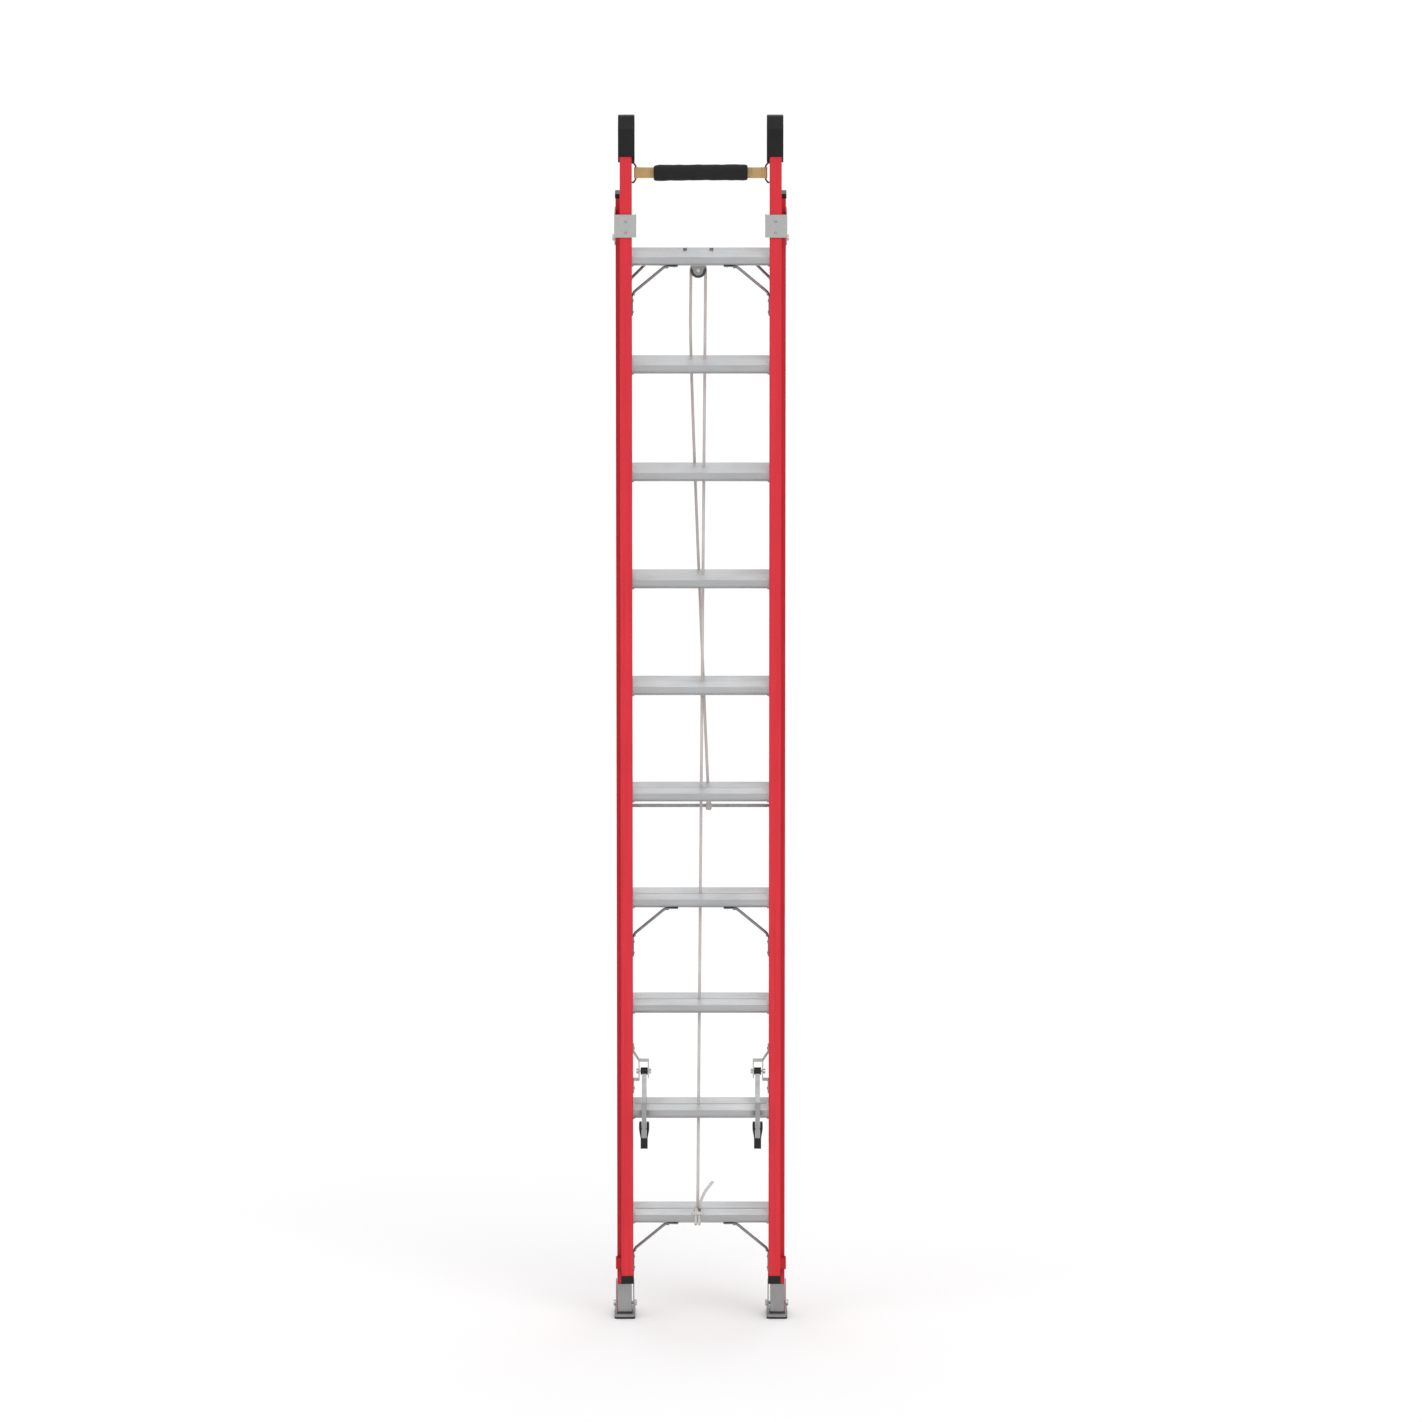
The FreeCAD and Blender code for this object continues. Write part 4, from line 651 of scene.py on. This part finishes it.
@dataclass
class PoleStrap:
    """The webbing strap between the fly rails, with its padded sleeve."""

    paints: Paints
    y: float = -44.0
    z: float = 3294.5
    bar_x: float = 181.0
    half_height: float = 15.0
    wall: float = 1.3
    bend: float = 3.9
    fold: float = 40.0
    sleeve_half: float = 131.0
    sleeve_radius: float = 22.6
    stitch_radius: float = 0.45
    stitch_length: float = 2.6
    stitch_pitch: float = 4.0
    # How far the stitches lie in front of the strap's middle.
    stitch_out: float = 4.25
    # The sleeve's rolled ends: each inset's width and depth.
    rolls: tuple[tuple[float, float], ...] = ((4.5, 0.0), (2.5, -5.0), (6.0, -1.0))
    end_round: float = 9.0
    end_pinch: float = 0.13
    # Ripples in the cloth: height in mm, waves along, waves round, and shift.
    ripples: tuple[tuple[float, float, float, float], ...] = (
        (0.35, 17, 2, 0.0), (0.28, 31, -3, 1.3), (0.22, 9, 5, 0.6))
    seam_depth: float = 1.3
    seam_angle: float = 0.9
    seam_width: float = 0.09
    flattening: float = 0.06
    slack_ends: float = 1.6
    slack_middle: float = 1.0
    tilt: float = 0.8

    def webbing_line(self) -> list[tuple[float, float]]:
        """The strap's middle line seen from above.

        Returns:
            Points from one sewn end to the other, as x and the place across, in mm.
        """
        right = [(self.bar_x - self.fold, -3.6), (self.bar_x - 20, -3.3), (self.bar_x - 8, -3.8)]
        for k in range(13):
            angle = -math.pi / 2 + math.pi * k / 12
            right.append((self.bar_x + self.bend * math.cos(angle), self.bend * math.sin(angle)))
        right += [(self.bar_x - 9, 1.4), (self.bar_x - 20, -1.6), (self.bar_x - self.fold, -1.9),
                  (self.sleeve_half - 30, 0.0)]
        middle = [(x, 0.0) for x in (60, 0, -60)]
        left = [(-x, across) for x, across in reversed(right)]
        return right + middle + left

    def webbing(self) -> None:
        """Makes the strap: one length of webbing, folded round each ring's bar and sewn."""
        line = self.webbing_line()
        rows = 7
        points, faces, runs = [], [], [0.0]
        for (x0, y0), (x1, y1) in zip(line, line[1:]):
            runs.append(runs[-1] + math.hypot(x1 - x0, y1 - y0))
        for x, across in line:
            for j in range(rows):
                up = (2 * j / (rows - 1) - 1) * self.half_height
                points.append(Vector((x, self.y + across, self.z + up)) * MM)
        for i in range(len(line) - 1):
            for j in range(rows - 1):
                a = i * rows + j
                faces.append((a, a + rows, a + rows + 1, a + 1))
        strap = new_mesh("pole_strap_webbing", points, faces)
        layer = strap.data.uv_layers.new(name="weave")
        for loop in strap.data.loops:
            i, j = divmod(loop.vertex_index, rows)
            layer.data[loop.index].uv = (runs[i] * MM, j / (rows - 1) * 2 * self.half_height * MM)
        thick = strap.modifiers.new("thickness", "SOLIDIFY")
        thick.thickness, thick.offset = self.wall * MM, 0.0
        edge = strap.modifiers.new("edges", "BEVEL")
        edge.width, edge.segments, edge.limit_method = 0.4 * MM, 2, "ANGLE"
        apply_all(strap)
        self.paints.dress(strap, WEBBING)
        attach(strap, "fly")
        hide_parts("pole_strap")
        LOG.info("%s: %.0f mm of webbing", strap.name, runs[-1])

    def stitches(self) -> None:
        """Sews each fold down with a box of stitches crossed corner to corner."""
        spots = []
        left, right, half = self.bar_x - self.fold + 4, self.bar_x - 12, self.half_height - 4
        corners = [(left, -half), (right, -half), (right, half), (left, half), (left, -half),
                   (right, half)]
        lines = list(zip(corners, corners[1:])) + [((left, half), (right, -half))]
        for (x0, z0), (x1, z1) in lines:
            long = math.hypot(x1 - x0, z1 - z0)
            count = round(long / self.stitch_pitch)
            for k in range(count):
                t = (k + 0.5) / count
                spots.append((x0 + (x1 - x0) * t, z0 + (z1 - z0) * t, math.atan2(z1 - z0, x1 - x0)))
        deselect()
        bpy.ops.mesh.primitive_cylinder_add(
            vertices=8, radius=self.stitch_radius * MM, depth=self.stitch_length * MM,
            rotation=(0, math.pi / 2, 0))
        stitch = settle(bpy.context.object, "stitch")
        pull = stitch.modifiers.new("ends", "BEVEL")
        pull.width, pull.segments = 0.25 * MM, 2
        apply_all(stitch)
        shape = [v.co.copy() for v in stitch.data.vertices]
        rings = [tuple(p.vertices) for p in stitch.data.polygons]
        bpy.data.objects.remove(stitch)
        points, faces = [], []
        for side in (1, -1):
            for x, up, angle in spots:
                start = len(points)
                c, s = math.cos(angle), math.sin(angle)
                for v in shape:
                    turned = Vector((v.x * c - v.z * s, v.y * 0.6, v.x * s + v.z * c))
                    if side < 0:
                        turned = Vector((-turned.x, turned.y, turned.z))
                    spot = Vector((side * x, self.y - self.stitch_out, self.z + up))
                    points.append(turned + spot * MM)
                for ring in rings:
                    order = ring if side > 0 else tuple(reversed(ring))
                    faces.append(tuple(start + i for i in order))
        sewn = new_mesh("pole_strap_stitches", points, faces)
        self.paints.dress(sewn, THREAD)
        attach(sewn, "fly")
        LOG.info("%s: %d stitches", sewn.name, 2 * len(spots))

    def sleeve(self) -> None:
        """Makes the padded sleeve: a soft tube with rolled ends, a slack underside and a seam."""
        deselect()
        bpy.ops.mesh.primitive_cylinder_add(
            vertices=40, radius=self.sleeve_radius * MM, depth=2 * self.sleeve_half * MM,
            location=(0, self.y * MM, self.z * MM), rotation=(0, math.pi / 2, 0))
        pad = settle(bpy.context.object, "pole_strap_sleeve")
        bpy.ops.object.mode_set(mode="EDIT")
        bpy.ops.mesh.select_mode(type="FACE")
        bpy.ops.mesh.select_all(action="DESELECT")
        bpy.ops.object.mode_set(mode="OBJECT")
        for face in pad.data.polygons:
            face.select = abs(face.normal.x) > 0.9
        bpy.ops.object.mode_set(mode="EDIT")
        for thickness, depth in self.rolls:
            bpy.ops.mesh.inset(thickness=thickness * MM, depth=depth * MM, use_individual=True)
        bpy.ops.mesh.select_all(action="DESELECT")
        bpy.ops.object.mode_set(mode="OBJECT")
        reach = self.sleeve_half * MM
        for edge in pad.data.edges:
            a, b = (pad.data.vertices[i].co for i in edge.vertices)
            edge.select = abs(a.x - b.x) > 1.9 * reach
        bpy.ops.object.mode_set(mode="EDIT")
        bpy.ops.mesh.subdivide(number_cuts=35)
        bpy.ops.object.mode_set(mode="OBJECT")
        for v in pad.data.vertices:
            self.soften(v, reach)
        smooth = pad.modifiers.new("surface", "SUBSURF")
        smooth.levels = smooth.render_levels = 1
        apply_all(pad)
        pad.data.shade_smooth()
        self.paints.dress(pad, SLEEVE_CLOTH)
        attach(pad, "fly")
        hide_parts("strap_sleeve")
        LOG.info("%s: %d faces", pad.name, len(pad.data.polygons))

    def soften(self, v: bpy.types.MeshVertex, reach: float) -> None:
        """Moves one corner of the sleeve to where soft foam would rest.

        Args:
            v: The corner.
            reach: Half the sleeve's length, in metres.
        """
        across, up = v.co.y - self.y * MM, v.co.z - self.z * MM
        away = math.hypot(across, up)
        if away < 1e-6:
            return
        along = v.co.x / reach
        angle = math.atan2(up, across)
        rim = min(1.0, (1 - abs(along)) * reach / (self.end_round * MM))
        round_end = 1 - self.end_pinch * (1 - rim) ** 2
        ripple = MM * sum(height * math.sin(lengthwise * along + crosswise * angle + shift)
                          for height, lengthwise, crosswise, shift in self.ripples)
        dip = math.exp(-((angle - self.seam_angle) / self.seam_width) ** 2)
        seam = -self.seam_depth * MM * dip
        grown = away * round_end + (ripple + seam) * (away / (self.sleeve_radius * MM)) ** 3
        flat = 1 - self.flattening * (1 - along * along)
        v.co.y = self.y * MM + math.cos(angle) * grown * flat
        v.co.z = self.z * MM + math.sin(angle) * grown
        slack = (self.slack_ends * along * along - self.slack_middle) * MM
        if up < 0:
            v.co.z -= slack * min(1.0, -up / away)
        v.co.z += self.tilt * MM * along

    def build(self) -> None:
        """Makes the strap, its stitches and its sleeve."""
        self.webbing()
        self.stitches()
        self.sleeve()


# Pieces that keep their CAD shape ---------------------------------------------


@dataclass
class Frame:
    """The rails, rungs, braces, caps, locks, shoes and fittings, which keep their CAD shape."""

    paints: Paints

    def dress(self) -> None:
        """Gives each CAD node the finish of its material slot."""
        for part in frame["record"]["subparts"]:
            name = part["node"]
            finish = NODE_FINISHES.get(name, SLOT_FINISHES[part["material_slot"]])
            self.paints.dress(frame["nodes"][name], finish)
            LOG.info("%s: %s", name, finish.name)


# Studio -----------------------------------------------------------------------


@dataclass(frozen=True)
class Sun:
    """A wide soft light: its strength, and its spread and turn in degrees."""

    name: str
    power: float
    spread: float
    turn: Point


@dataclass
class Studio:
    """A pale floor, soft light and a long lens."""

    camera_spot: tuple[float, float, float] = (0.0287, -27.905, 7.0806)
    camera_pitch: float = 0.1884
    lens: float = 255.31
    floor_half: float = 200.0
    sky: float = 1.15
    horizon: float = 0.30
    suns: tuple[Sun, ...] = (
        Sun("key", 1.0, 50, (52, 0, 24)),
        Sun("fill", 0.5, 70, (62, 0, -42)),
        Sun("back", 0.5, 60, (-50, 0, 0)))

    def camera(self) -> None:
        """Puts the camera where it shows the ladder from the climber's side."""
        data = bpy.data.cameras.new("camera")
        data.lens, data.sensor_width = self.lens, 36.0
        data.clip_end = 500.0
        cam = bpy.data.objects.new("camera", data)
        cam.location = self.camera_spot
        cam.rotation_euler = (math.pi / 2 - self.camera_pitch, 0.0, 0.0)
        bpy.context.scene.collection.objects.link(cam)
        bpy.context.scene.camera = cam

    def floor(self) -> None:
        """Lays the floor."""
        deselect()
        bpy.ops.mesh.primitive_plane_add(size=2 * self.floor_half, location=(0, 0, -0.0005))
        floor = bpy.context.object
        floor.name = "floor"
        pale = bpy.data.materials.new("pale_floor")
        pale.use_nodes = True
        shader = pale.node_tree.nodes["Principled BSDF"]
        shader.inputs["Base Color"].default_value = linear("#F4F4F4")
        shader.inputs["Roughness"].default_value = 0.9
        shader.inputs["Specular IOR Level"].default_value = 0.1
        floor.data.materials.append(pale)

    def lights(self) -> None:
        """Sets wide soft lights and a sky that is brighter overhead than at eye level."""
        for sun in self.suns:
            data = bpy.data.lights.new(sun.name, "SUN")
            data.energy, data.angle = sun.power, math.radians(sun.spread)
            lamp = bpy.data.objects.new(sun.name, data)
            lamp.rotation_euler = [math.radians(turn) for turn in sun.turn]
            bpy.context.scene.collection.objects.link(lamp)
        world = bpy.data.worlds.new("studio")
        bpy.context.scene.world = world
        world.use_nodes = True
        tree = world.node_tree
        tree.nodes.clear()
        place = add_node(tree, "ShaderNodeTexCoord").outputs["Generated"]
        height = add_node(tree, "ShaderNodeSeparateXYZ", links={0: place})
        ramp = {"From Min": 0.0, "From Max": 0.8, "To Min": self.horizon, "To Max": self.sky}
        light = add_node(tree, "ShaderNodeMapRange", values=ramp, links={"Value": height.outputs[2]})
        seen = add_node(tree, "ShaderNodeLightPath")
        shown = add_node(tree, "ShaderNodeMix", {"data_type": "FLOAT"}, {3: 1.0},
                         {0: seen.outputs["Is Camera Ray"], 2: light.outputs[0]})
        glow = add_node(tree, "ShaderNodeBackground", links={"Strength": shown.outputs[0]})
        add_node(tree, "ShaderNodeOutputWorld", links={"Surface": glow.outputs[0]})
        bpy.context.scene.view_settings.view_transform = "Standard"

    def build(self) -> None:
        """Sets up the camera, the floor and the lights."""
        self.camera()
        self.floor()
        self.lights()


def main() -> None:
    """Builds the studio and the ladder in order."""
    logging.basicConfig(level=logging.INFO, format="%(name)s: %(message)s")
    bpy.context.view_layer.update()
    paints = Paints()
    Studio().build()
    Ropework(paints).build()
    PoleStrap(paints).build()
    Frame(paints).dress()


if __name__ == "__main__":
    main()
